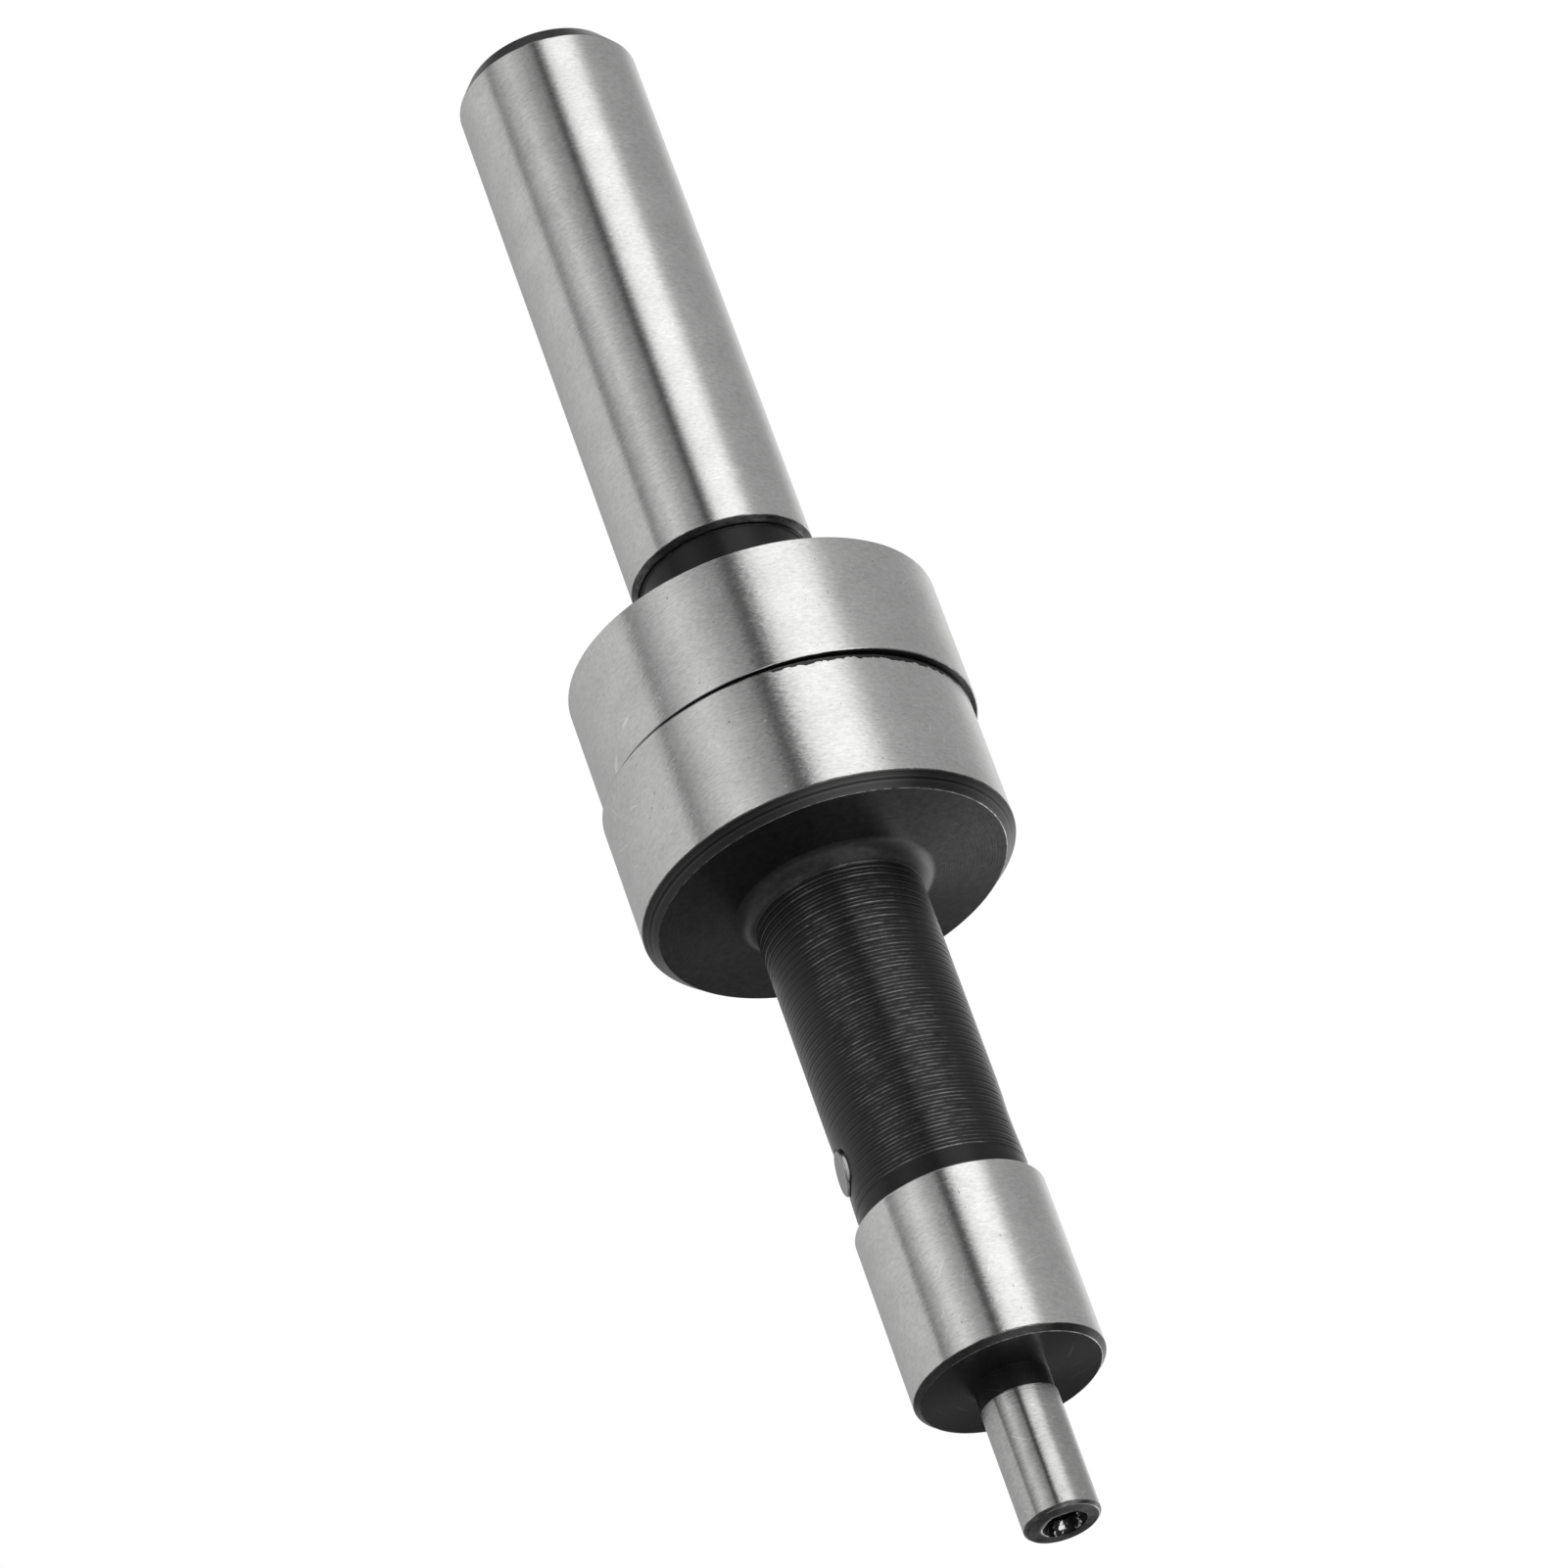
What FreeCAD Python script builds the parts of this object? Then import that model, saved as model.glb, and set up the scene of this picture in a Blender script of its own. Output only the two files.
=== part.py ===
import FreeCAD, Part
import math
import os

from FreeCAD import Vector

# Mechanical edge finder with a 10 mm shank: a ground shank with a round flange, and a stylus with
# the same flange, held face to face by a tension spring that is hooked over two crossed pins.
# Millimetres. +Z runs up the shank towards the machine spindle, and the origin lies on the shank's
# axis at the lower end of its ground length. X is the direction of the pin in the stylus.

# Shank
shank_dia = 10.0
shank_ground_length = 32.6
shank_top_chamfer_length = 1.12
shank_top_chamfer_depth = 0.76
shank_low_chamfer = 0.3
groove_depth = 0.45
groove_length = 5.33

# Flanges
flange_dia = 20.0
upper_flange_thickness = 7.1
upper_flange_edge_break = 0.05
lower_flange_thickness = 8.07
lower_flange_edge_break = 0.25
lower_flange_chamfer = 0.7

# Stylus neck, gauging head and gauging tip
neck_dia = 9.0
neck_length = 19.4
neck_fillet = 0.9
head_dia = 10.0
head_length = 9.95
head_top_break = 0.1
head_chamfer = 0.3
tip_dia = 4.0
tip_relief_depth = 0.05
tip_relief_length = 1.25
tip_ground_length = 6.7
tip_chamfer = 0.15

# Centre holes in the two ends, as left by turning and grinding between centres
centre_cone_angle = 60.0
drill_point_angle = 118.0
shank_centre_mouth_dia = 3.2
shank_centre_pilot_dia = 1.5
shank_centre_pilot_length = 2.5
tip_centre_mouth_dia = 2.15
tip_centre_pilot_dia = 1.0
tip_centre_pilot_length = 1.2

# Pins
upper_pin_dia = 1.5
upper_pin_rise = 1.75
upper_pin_end_sink = 0.05
lower_pin_dia = 2.4
lower_pin_drop = 15.75
lower_pin_stand_out = 0.1
lower_pin_sink = 0.3
pin_end_break = 0.1
pin_hole_clearance = 0.01
pin_hole_countersink = 0.2

# Spring. Its round wire is drawn with a few flat sides, because a round one has ten times the facets.
wire_dia = 0.6
wire_sides = 6
coil_pitch = 1.0
full_turns = 9
hook_play = 0.05
hook_reach = 0.7
hook_wrap_angle = 250.0

# Play in the assembly
sideways_travel = 0.8
bore_clearance = 0.3
bore_mouth_chamfer = 0.3
bore_end_clearance = 0.4

# Where the stylus has come to rest, off the shank's axis
stylus_offset_x = -0.33
stylus_offset_y = 0.07

# Radii
shank_radius = shank_dia / 2
groove_radius = shank_radius - groove_depth
flange_radius = flange_dia / 2
neck_radius = neck_dia / 2
head_radius = head_dia / 2
tip_radius = tip_dia / 2
wire_radius = wire_dia / 2
upper_pin_radius = upper_pin_dia / 2
lower_pin_radius = lower_pin_dia / 2

# Heights, from the top down
shank_top_z = shank_ground_length + shank_top_chamfer_length
flange_top_z = -groove_length
split_z = flange_top_z - upper_flange_thickness
lower_flange_bottom_z = split_z - lower_flange_thickness
head_top_z = lower_flange_bottom_z - neck_length
head_bottom_z = head_top_z - head_length
tip_relief_end_z = head_bottom_z - tip_relief_length
tip_ground_end_z = tip_relief_end_z - tip_ground_length
tip_end_z = tip_ground_end_z - tip_chamfer
upper_pin_z = flange_top_z + upper_pin_rise
lower_pin_z = lower_flange_bottom_z - lower_pin_drop

# The hooks are round eyes that ride on the pins. Their wire leaves the coil on its tangent and bends
# up or down after the hook's reach, so the eye's radius sets the coil's.
eye_radius = max(upper_pin_radius, lower_pin_radius) + hook_play + wire_radius
coil_radius = math.sqrt(eye_radius ** 2 - hook_reach ** 2)
coil_slope = math.atan2(coil_pitch, 2 * math.pi * coil_radius)
hook_lead_angle = math.degrees(math.atan2(hook_reach, coil_radius))
eye_inner_radius = eye_radius - wire_radius
upper_eye_z = upper_pin_z + upper_pin_radius + hook_play - eye_inner_radius
lower_eye_z = lower_pin_z - lower_pin_radius - hook_play + eye_inner_radius

# The bores leave the coil room for the sideways travel
bore_radius = coil_radius + wire_radius + sideways_travel + bore_clearance
upper_bore_end_z = upper_eye_z + eye_radius + wire_radius + bore_end_clearance
lower_bore_end_z = lower_eye_z - eye_radius - wire_radius - bore_end_clearance


def point(r, z):
    """A point of a turned outline, given by its radius and height."""
    return Vector(r, 0, z)


def turned(edges):
    """Closed solid of revolution about Z from the edges of a half outline."""
    outline = Part.Face(Part.Wire(edges))
    return outline.revolve(Vector(0, 0, 0), Vector(0, 0, 1), 360)


def straight_edges(points):
    """Straight edges from each point to the next."""
    return [Part.makeLine(start, end) for start, end in zip(points, points[1:])]


def drilled_bore(radius, mouth_z, end_z, mouth_chamfer):
    """A blind drilled bore along Z, with a chamfered mouth and a drill point at its end."""
    way = 1 if end_z > mouth_z else -1
    point_depth = radius / math.tan(math.radians(drill_point_angle / 2))
    corners = [
        point(0, mouth_z),
        point(radius + mouth_chamfer, mouth_z),
        point(radius, mouth_z + way * mouth_chamfer),
        point(radius, end_z),
        point(0, end_z + way * point_depth),
        point(0, mouth_z),
    ]
    return turned(straight_edges(corners))


def centre_hole(mouth_dia, pilot_dia, pilot_length, mouth_z, way):
    """A centre-drilled hole: a cone at its mouth, then a short pilot with a drill point."""
    mouth_radius = mouth_dia / 2
    pilot_radius = pilot_dia / 2
    cone_depth = (mouth_radius - pilot_radius) / math.tan(math.radians(centre_cone_angle / 2))
    point_depth = pilot_radius / math.tan(math.radians(drill_point_angle / 2))
    pilot_end = cone_depth + pilot_length
    corners = [
        point(0, mouth_z),
        point(mouth_radius, mouth_z),
        point(pilot_radius, mouth_z + way * cone_depth),
        point(pilot_radius, mouth_z + way * pilot_end),
        point(0, mouth_z + way * (pilot_end + point_depth)),
        point(0, mouth_z),
    ]
    return turned(straight_edges(corners))


def make_pin(dia, low_end, high_end, direction, z):
    """A plain cross pin with broken end edges, lying across the Z axis at height z."""
    pin = Part.makeCylinder(dia / 2, high_end - low_end, direction * low_end, direction)
    ends = [edge for edge in pin.Edges if isinstance(edge.Curve, Part.Circle)]
    pin = pin.makeChamfer(pin_end_break, ends)
    pin.translate(Vector(0, 0, z))
    return pin


def make_shank_arbor():
    """The shank, its relief groove and the upper flange, turned and ground in one piece."""
    corners = [
        point(0, shank_top_z),
        point(shank_radius - shank_top_chamfer_depth, shank_top_z),
        point(shank_radius, shank_ground_length),
        point(shank_radius, 0),
        point(shank_radius - shank_low_chamfer, -shank_low_chamfer),
        point(groove_radius, -shank_low_chamfer),
        point(groove_radius, flange_top_z),
        point(flange_radius, flange_top_z),
        point(flange_radius, split_z + upper_flange_edge_break),
        point(flange_radius - upper_flange_edge_break, split_z),
        point(0, split_z),
        point(0, shank_top_z),
    ]
    arbor = turned(straight_edges(corners))
    arbor = arbor.cut(drilled_bore(bore_radius, split_z, upper_bore_end_z, bore_mouth_chamfer))
    arbor = arbor.cut(
        centre_hole(
            shank_centre_mouth_dia, shank_centre_pilot_dia, shank_centre_pilot_length, shank_top_z, -1
        )
    )
    hole_radius = upper_pin_radius + pin_hole_clearance
    hole_start = Vector(0, -shank_radius, upper_pin_z)
    return arbor.cut(Part.makeCylinder(hole_radius, shank_dia, hole_start, Vector(0, 1, 0)))


def make_stylus():
    """The lower flange, neck, gauging head and gauging tip, turned and ground in one piece."""
    fillet_start = point(neck_radius + neck_fillet, lower_flange_bottom_z)
    fillet_end = point(neck_radius, lower_flange_bottom_z - neck_fillet)
    fillet_share = neck_fillet * (1 - math.sqrt(0.5))
    fillet_middle = point(neck_radius + fillet_share, lower_flange_bottom_z - fillet_share)
    above_fillet = [
        point(0, split_z),
        point(flange_radius - lower_flange_edge_break, split_z),
        point(flange_radius, split_z - lower_flange_edge_break),
        point(flange_radius, lower_flange_bottom_z + lower_flange_chamfer),
        point(flange_radius - lower_flange_chamfer, lower_flange_bottom_z),
        fillet_start,
    ]
    below_fillet = [
        fillet_end,
        point(neck_radius, head_top_z),
        point(head_radius - head_top_break, head_top_z),
        point(head_radius, head_top_z - head_top_break),
        point(head_radius, head_bottom_z + head_chamfer),
        point(head_radius - head_chamfer, head_bottom_z),
        point(tip_radius - tip_relief_depth, head_bottom_z),
        point(tip_radius - tip_relief_depth, tip_relief_end_z),
        point(tip_radius, tip_relief_end_z),
        point(tip_radius, tip_ground_end_z),
        point(tip_radius - tip_chamfer, tip_end_z),
        point(0, tip_end_z),
        point(0, split_z),
    ]
    # The arc is written as a spline of the same shape, whose surface needs half the facets
    fillet = Part.Arc(fillet_start, fillet_middle, fillet_end).toBSpline().toShape()
    stylus = turned(straight_edges(above_fillet) + [fillet] + straight_edges(below_fillet))
    stylus = stylus.cut(drilled_bore(bore_radius, split_z, lower_bore_end_z, bore_mouth_chamfer))
    stylus = stylus.cut(
        centre_hole(tip_centre_mouth_dia, tip_centre_pilot_dia, tip_centre_pilot_length, tip_end_z, 1)
    )
    stylus = stylus.cut(lower_pin_hole())
    stylus.translate(Vector(stylus_offset_x, stylus_offset_y, 0))
    return stylus


def lower_pin_hole():
    """The cross hole through the neck along X, countersunk where it comes out on each side."""
    hole_radius = lower_pin_radius + pin_hole_clearance
    mouth_radius = hole_radius + pin_hole_countersink
    start = Vector(-neck_dia, 0, lower_pin_z)
    hole = Part.makeCylinder(hole_radius, 2 * neck_dia, start, Vector(1, 0, 0))
    for way in (-1, 1):
        cone_start = Vector(way * (neck_radius - pin_hole_countersink), 0, lower_pin_z)
        outward = Vector(way, 0, 0)
        hole = hole.fuse(
            Part.makeCone(hole_radius, mouth_radius, pin_hole_countersink, cone_start, outward)
        )
    return hole


def make_upper_pin():
    """The pin in the relief groove, along Y, a little below the groove's surface at both ends."""
    flush_end = math.sqrt(groove_radius ** 2 - upper_pin_radius ** 2)
    end = flush_end - upper_pin_end_sink
    return make_pin(upper_pin_dia, -end, end, Vector(0, 1, 0), upper_pin_z)


def make_lower_pin():
    """The pin in the stylus, along X, with its -X end standing out of the neck."""
    low_end = -(neck_radius + lower_pin_stand_out)
    high_end = neck_radius - lower_pin_sink
    pin = make_pin(lower_pin_dia, low_end, high_end, Vector(1, 0, 0), lower_pin_z)
    pin.translate(Vector(stylus_offset_x, stylus_offset_y, 0))
    return pin


def wire_section(centre, way):
    """The wire's section: an even polygon with its corners on the round wire's surface."""
    first = way.cross(Vector(0, 0, 1)).normalize()
    second = way.cross(first).normalize()
    corners = []
    for side in range(wire_sides):
        turn = 2 * math.pi * side / wire_sides
        corners.append(
            centre + first * (wire_radius * math.cos(turn)) + second * (wire_radius * math.sin(turn))
        )
    return Part.makePolygon(corners + corners[:1])


def hook_bend(coil_end, tangent, way):
    """The arc from the coil's end, along its tangent, into the straight leg of a hook.

    way is 1 for the leg that goes up and -1 for the one that goes down. The arc starts at the coil's
    end and touches the leg as far past the corner of the two lines as it starts before it.
    """
    leg = Vector(0, 0, way)
    corner_distance = hook_reach / math.cos(coil_slope)
    corner = coil_end + tangent * corner_distance
    leg_start = corner + leg * corner_distance
    turn = tangent.getAngle(leg)
    bend_radius = corner_distance / math.tan(turn / 2)
    inward = leg - tangent * leg.dot(tangent)
    centre = coil_end + inward.normalize() * bend_radius
    to_corner = corner - centre
    middle = centre + to_corner.normalize() * bend_radius
    return Part.Arc(coil_end, middle, leg_start).toShape(), leg_start


def eye_arc(centre, sideways, way):
    """The round eye of a hook, from the leg's end over the pin's far side."""
    def at(angle):
        turn = math.radians(angle)
        return centre + sideways * (eye_radius * math.cos(turn)) + Vector(0, 0, way) * (
            eye_radius * math.sin(turn)
        )

    return Part.Arc(at(0), at(hook_wrap_angle / 2), at(hook_wrap_angle)).toShape()


def make_tension_spring():
    """A right-handed coil with an eye on a straight leg at each end.

    The lower leg stands on +Y and its eye lies across X, for the lower pin. The upper leg stands on
    +X and its eye lies across Y, for the upper pin.
    """
    quarter = 90.0
    coil_start_angle = quarter + hook_lead_angle
    coil_angle = 360.0 * full_turns - quarter - 2 * hook_lead_angle
    coil_height = coil_pitch * coil_angle / 360.0
    coil_low_z = (upper_eye_z + lower_eye_z - coil_height) / 2
    coil = Part.makeHelix(coil_pitch, coil_height, coil_radius)
    coil.rotate(Vector(0, 0, 0), Vector(0, 0, 1), coil_start_angle)
    coil.translate(Vector(0, 0, coil_low_z))

    def coil_point(angle, z):
        turn = math.radians(angle)
        return Vector(coil_radius * math.cos(turn), coil_radius * math.sin(turn), z)

    def coil_tangent(angle, way):
        turn = math.radians(angle)
        level = math.cos(coil_slope)
        return Vector(-math.sin(turn) * level, math.cos(turn) * level, math.sin(coil_slope)) * way

    coil_end_angle = coil_start_angle + coil_angle
    low_bend, low_leg_start = hook_bend(
        coil_point(coil_start_angle, coil_low_z), coil_tangent(coil_start_angle, -1), -1
    )
    high_bend, high_leg_start = hook_bend(
        coil_point(coil_end_angle, coil_low_z + coil_height), coil_tangent(coil_end_angle, 1), 1
    )
    low_leg_end = Vector(low_leg_start.x, low_leg_start.y, lower_eye_z)
    high_leg_end = Vector(high_leg_start.x, high_leg_start.y, upper_eye_z)
    low_eye = eye_arc(Vector(0, 0, lower_eye_z), Vector(0, 1, 0), -1)
    high_eye = eye_arc(Vector(0, 0, upper_eye_z), Vector(1, 0, 0), 1)
    route = [
        low_eye,
        Part.makeLine(low_leg_end, low_leg_start),
        low_bend,
        *coil.Edges,
        high_bend,
        Part.makeLine(high_leg_start, high_leg_end),
        high_eye,
    ]
    path = Part.Wire(Part.__sortEdges__(route))
    wire_end = low_eye.LastParameter
    section = wire_section(low_eye.valueAt(wire_end), low_eye.tangentAt(wire_end))
    spring = path.makePipeShell([section], True, False)
    spring.translate(Vector(0, stylus_offset_y, 0))
    expected_volume = Part.Face(section).Area * path.Length
    print("spring wire", round(path.Length, 2), "mm long")
    print("spring volume", round(spring.Volume, 3), "mm3, section times length", round(expected_volume, 3))
    return spring


nodes = {
    "shank_arbor": make_shank_arbor(),
    "stylus": make_stylus(),
    "tension_spring": make_tension_spring(),
    "upper_spring_pin": make_upper_pin(),
    "lower_spring_pin": make_lower_pin(),
}

os.makedirs("parts", exist_ok=True)
for name, shape in nodes.items():
    shape.exportStep(f"parts/{name}.step")
    print(name, shape.isValid(), len(shape.Solids), "solid", round(shape.Volume, 2), "mm3")
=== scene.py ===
# %% [markdown]
# An edge finder is a small measuring tool for a milling machine. Its shank is held in the spindle,
# and a stylus hangs from it on a hidden spring. This lesson dresses the five solid parts of the tool
# in their real finishes. The frame comes first, because every surface below takes its place from it.

import math

import bpy
import numpy as np
from mathutils import Matrix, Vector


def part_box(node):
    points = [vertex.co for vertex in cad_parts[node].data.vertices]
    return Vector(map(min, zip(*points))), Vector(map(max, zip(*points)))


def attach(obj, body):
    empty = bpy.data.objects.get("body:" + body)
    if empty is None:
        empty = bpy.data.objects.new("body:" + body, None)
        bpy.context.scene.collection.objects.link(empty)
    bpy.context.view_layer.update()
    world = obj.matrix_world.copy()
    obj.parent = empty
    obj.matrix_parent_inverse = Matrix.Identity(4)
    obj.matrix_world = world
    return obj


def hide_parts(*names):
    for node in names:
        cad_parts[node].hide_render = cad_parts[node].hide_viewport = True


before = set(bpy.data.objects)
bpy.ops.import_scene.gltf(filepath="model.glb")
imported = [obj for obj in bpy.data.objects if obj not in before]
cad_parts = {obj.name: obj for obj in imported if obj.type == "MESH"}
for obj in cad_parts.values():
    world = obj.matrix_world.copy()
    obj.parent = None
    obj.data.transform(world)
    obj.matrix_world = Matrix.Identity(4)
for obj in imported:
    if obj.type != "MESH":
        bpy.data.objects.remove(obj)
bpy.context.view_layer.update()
MM = 0.001
print("solids in the frame:", sorted(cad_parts))

# %% [markdown]
# The tool was made on a lathe and a grinder, so nearly all of it follows from radii and heights.
# The heights and centres that the solids' boxes show are read from the frame. Radii, chamfers, edge
# breaks and the heights of the steps between are the shop's own numbers in millimetres, the ones that
# a drawing of the tool would show.

# %% Heights and centres from the frame


def box_mm(node):
    """Lowest and highest corner of a solid of the frame, in millimetres."""
    low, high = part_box(node)
    return np.array(low) / MM, np.array(high) / MM


arbor_low, arbor_high = box_mm("shank_arbor")
stylus_low, stylus_high = box_mm("stylus")
upper_pin_low, upper_pin_high = box_mm("upper_spring_pin")
lower_pin_low, lower_pin_high = box_mm("lower_spring_pin")

shank_top_z = arbor_high[2]
split_z = arbor_low[2]
tip_end_z = stylus_low[2]
stylus_centre = (stylus_low + stylus_high)[:2] / 2
upper_pin_z = (upper_pin_low + upper_pin_high)[2] / 2
lower_pin_z = (lower_pin_low + lower_pin_high)[2] / 2
print("heights in mm:", np.round([shank_top_z, split_z, tip_end_z, upper_pin_z, lower_pin_z], 2))
print("stylus centre in mm:", np.round(stylus_centre, 3))

# %% Sizes of the shank and its flange
shank_radius = 5.0
shank_ground_length = 32.6
shank_top_chamfer_depth = 0.76
shank_low_chamfer = 0.3
groove_radius = 4.55
flange_top_z = -5.33
flange_radius = 10.0
upper_edge_break = 0.05
bore_mouth_chamfer = 0.3
bore_end_room = 0.4
bore_side_room = 1.1
shank_centre_mouth = 1.6
shank_centre_pilot = 0.75
shank_centre_pilot_length = 2.5
print("shank in mm:", 2 * shank_radius, "across and", round(shank_top_z, 2), "long")

# %% Sizes of the stylus
lower_edge_break = 0.25
flange_bottom_z = -20.5
flange_chamfer = 0.7
flange_crown = 0.22
neck_radius = 4.5
neck_fillet = 0.9
head_radius = 5.0
head_top_z = -39.9
head_bottom_z = -49.85
head_top_break = 0.1
head_chamfer = 0.3
tip_radius = 2.0
tip_relief_depth = 0.05
tip_relief_end_z = -51.1
tip_chamfer = 0.15
tip_centre_mouth = 1.2
tip_centre_pilot = 0.8
tip_centre_pilot_length = 1.2
print("head and tip in mm:", 2 * head_radius, "and", 2 * tip_radius, "across")

# %% Sizes of the pins and the spring
upper_pin_radius = 0.75
lower_pin_radius = 1.2
pin_hole_clearance = 0.01
pin_hole_countersink = 0.2
wire_radius = 0.3
hook_play = 0.05
hook_reach = 0.7
hook_wrap = math.radians(250.0)
coil_pitch = 1.0
full_turns = 9

eye_radius = lower_pin_radius + hook_play + wire_radius
eye_inner_radius = eye_radius - wire_radius
upper_eye_z = upper_pin_z + upper_pin_radius + hook_play - eye_inner_radius
lower_eye_z = lower_pin_z - lower_pin_radius - hook_play + eye_inner_radius
upper_bore_end_z = upper_eye_z + eye_radius + wire_radius + bore_end_room
lower_bore_end_z = lower_eye_z - eye_radius - wire_radius - bore_end_room
coil_radius = math.sqrt(eye_radius ** 2 - hook_reach ** 2)
bore_radius = coil_radius + wire_radius + bore_side_room
print("bore ends in mm:", round(upper_bore_end_z, 2), round(lower_bore_end_z, 2))

# %% [markdown]
# The camera looks up at the tool from below, through a long lens and at about 30 degrees, and is rolled
# by 20 degrees, so that the tool leans across the picture. It comes before the surfaces, because the
# chips at the split with their painted shade of the gap, the painted highlights on the neck's ridges and
# the light are placed by the angle from the camera's side. The camera stands 12 degrees to the left of
# the tool's -Y side, so that the pin in the neck peeps out.

# %% Camera
picture_pixels = 1601
film_width = 36.0
focal_pixels = 8247.8
camera_turn = math.radians(12.0)
camera_back, camera_drop = 357.75, 224.31  # millimetres
camera_yaw = math.radians(-0.127)
camera_pitch = math.radians(30.53)
camera_roll = math.radians(-20.014)
side_way = np.array([math.cos(camera_turn), -math.sin(camera_turn), 0.0])
deep_way = np.array([math.sin(camera_turn), math.cos(camera_turn), 0.0])
up_way = np.array([0.0, 0.0, 1.0])


def camera_axes():
    """Right, up and forward of the camera: yaw, then pitch, and then right and up rolled about forward."""
    level = math.sin(camera_yaw) * side_way + math.cos(camera_yaw) * deep_way
    forward = level * math.cos(camera_pitch) + up_way * math.sin(camera_pitch)
    right = math.cos(camera_yaw) * side_way - math.sin(camera_yaw) * deep_way
    up = np.cross(right, forward)
    rolled_right = math.cos(camera_roll) * right + math.sin(camera_roll) * up
    rolled_up = math.cos(camera_roll) * up - math.sin(camera_roll) * right
    return rolled_right, rolled_up, forward


def make_camera():
    """A long lens: its length is the focal length in pixels, over the picture's, times the film's width."""
    data = bpy.data.cameras.new("camera")
    data.sensor_width = film_width
    data.lens = focal_pixels / picture_pixels * film_width
    made = bpy.data.objects.new("camera", data)
    bpy.context.scene.collection.objects.link(made)
    right, up, forward = camera_axes()
    place = (-camera_back * deep_way - camera_drop * up_way) * MM
    columns = np.column_stack([right, up, -forward, place])
    made.matrix_world = Matrix(np.vstack([columns, [0, 0, 0, 1]]).tolist())
    bpy.context.scene.camera = made
    return made


camera = make_camera()
print("lens in mm:", round(camera.data.lens, 1), "distance in mm:", round(camera.location.length / MM, 1))

# %% [markdown]
# A turned part is an outline carried once round an axis. Every corner of the outline is rounded a
# little, as on the real tool, because a corner with no width never catches the light. Each row also
# carries how far it lies from the next border between ground and blackened steel, and whether it is
# on a corner, so that the finishes can fray and wear where the real ones do.

# %% Rows along a straight run
GROUND, BLACK = 1.0, -1.0
border_reach = 0.6
row_ladder = np.array([0.0, 0.03, 0.12, 0.3, 0.6])
ladder_share = 0.45
longest_row = 3.0
edge_cut = 0.04


def run_distances(length, cuts):
    """Distances along a straight run where rows lie: close together near both ends, and even between."""
    near = row_ladder[row_ladder < ladder_share * (length - sum(cuts))]
    low, high = cuts[0] + near, length - cuts[1] - near[::-1]
    gap = high[0] - low[-1]
    inner = low[-1] + gap * np.linspace(0, 1, max(2, math.ceil(gap / longest_row) + 1))[1:-1]
    return np.concatenate([low, inner, high])


print("a 5 mm run gets rows at", np.round(run_distances(5.0, (edge_cut, edge_cut)), 2), "mm")

# %% Rounded corners
edge_cut_share = 0.3
edge_steps = np.array([1, 2]) / 3
soft_steps = np.arange(1, 6) / 6


def round_corner(before, corner, after, steps):
    """Points of the arc that touches both runs at before and after.

    P(u) = ((1-u)^2 A + 2 w u (1-u) K + u^2 B) / ((1-u)^2 + 2 w u (1-u) + u^2) is a true arc where w is
    the cosine of half the turn at the corner K.
    """
    u = steps[:, None]
    weight = np.linalg.norm(after - before) / 2 / np.linalg.norm(corner - before)
    shares = (1 - u) ** 2, 2 * weight * u * (1 - u), u ** 2
    total = shares[0] + shares[1] + shares[2]
    return (shares[0] * before + shares[1] * corner + shares[2] * after) / total


def corner_cuts(lengths, rounds):
    """What the rounding of each corner takes off the runs beside it, and 0 at both ends of the outline."""
    cuts = [0.0]
    for k in range(1, len(lengths)):
        plain = min(edge_cut, edge_cut_share * lengths[k - 1:k + 1].min())
        cuts.append(rounds.get(k, (plain, edge_steps))[0])
    return cuts + [0.0]


side_step, up_step = np.eye(2)
middle_point = round_corner(side_step, np.zeros(2), up_step, np.array([0.5]))
print("the middle of a corner rounded by 1 mm lies at", middle_point.round(3))

# %% Rows of a whole outline


def outline_rows(corners, finishes, rounds, extra):
    """Rows (radius, height, distance along, border, corner, run) of an outline with rounded corners.

    finishes gives each run's finish, rounds maps a corner to its own cut and steps, and extra maps a
    run to its own row distances. Corner k starts run k. The border value is the distance to the nearest
    change of finish, positive on ground steel and negative on blackened steel. The corner value is 1 on
    a corner that sticks out, where the outline turns clockwise.
    """
    corners = np.array(corners, float)
    runs = np.diff(corners, axis=0)
    lengths = np.linalg.norm(runs, axis=1)
    ways = runs / lengths[:, None]
    starts = np.concatenate([[0.0], np.cumsum(lengths)])
    cuts = corner_cuts(lengths, rounds)
    rows = []
    for k, length in enumerate(lengths):
        distances = extra[k] if k in extra else run_distances(length, cuts[k:k + 2])
        points = corners[k] + ways[k] * distances[:, None]
        labels = np.tile([finishes[k], 0.0, k], (len(points), 1))
        rows.append(np.column_stack([points, starts[k] + distances, labels]))
        if k + 1 < len(lengths):
            steps = rounds.get(k + 1, (0.0, edge_steps))[1]
            after = corners[k + 1] + ways[k + 1] * cuts[k + 1]
            bend = round_corner(points[-1], corners[k + 1], after, steps)
            along = starts[k + 1] + cuts[k + 1] * (2 * steps - 1)
            side = np.where(steps < 0.5, finishes[k], finishes[k + 1])
            turn = ways[k, 0] * ways[k + 1, 1] - ways[k, 1] * ways[k + 1, 0]
            on_edge = np.full(len(steps), float(cuts[k + 1] <= edge_cut and turn < 0))
            rows.append(np.column_stack([bend, along, side, on_edge, np.full(len(steps), k + 0.5)]))
    rows = np.vstack(rows)
    changes = starts[1:-1][np.diff(finishes) != 0]
    rows[:, 3] *= np.abs(rows[:, 2, None] - changes).min(axis=1).clip(0, border_reach)
    return rows


square_rows = outline_rows([(0, 1), (1, 1), (1, 0), (0, 0)], [BLACK, GROUND, BLACK], {}, {})
print("a disc 1 mm thick gets", len(square_rows), "rows")

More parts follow.
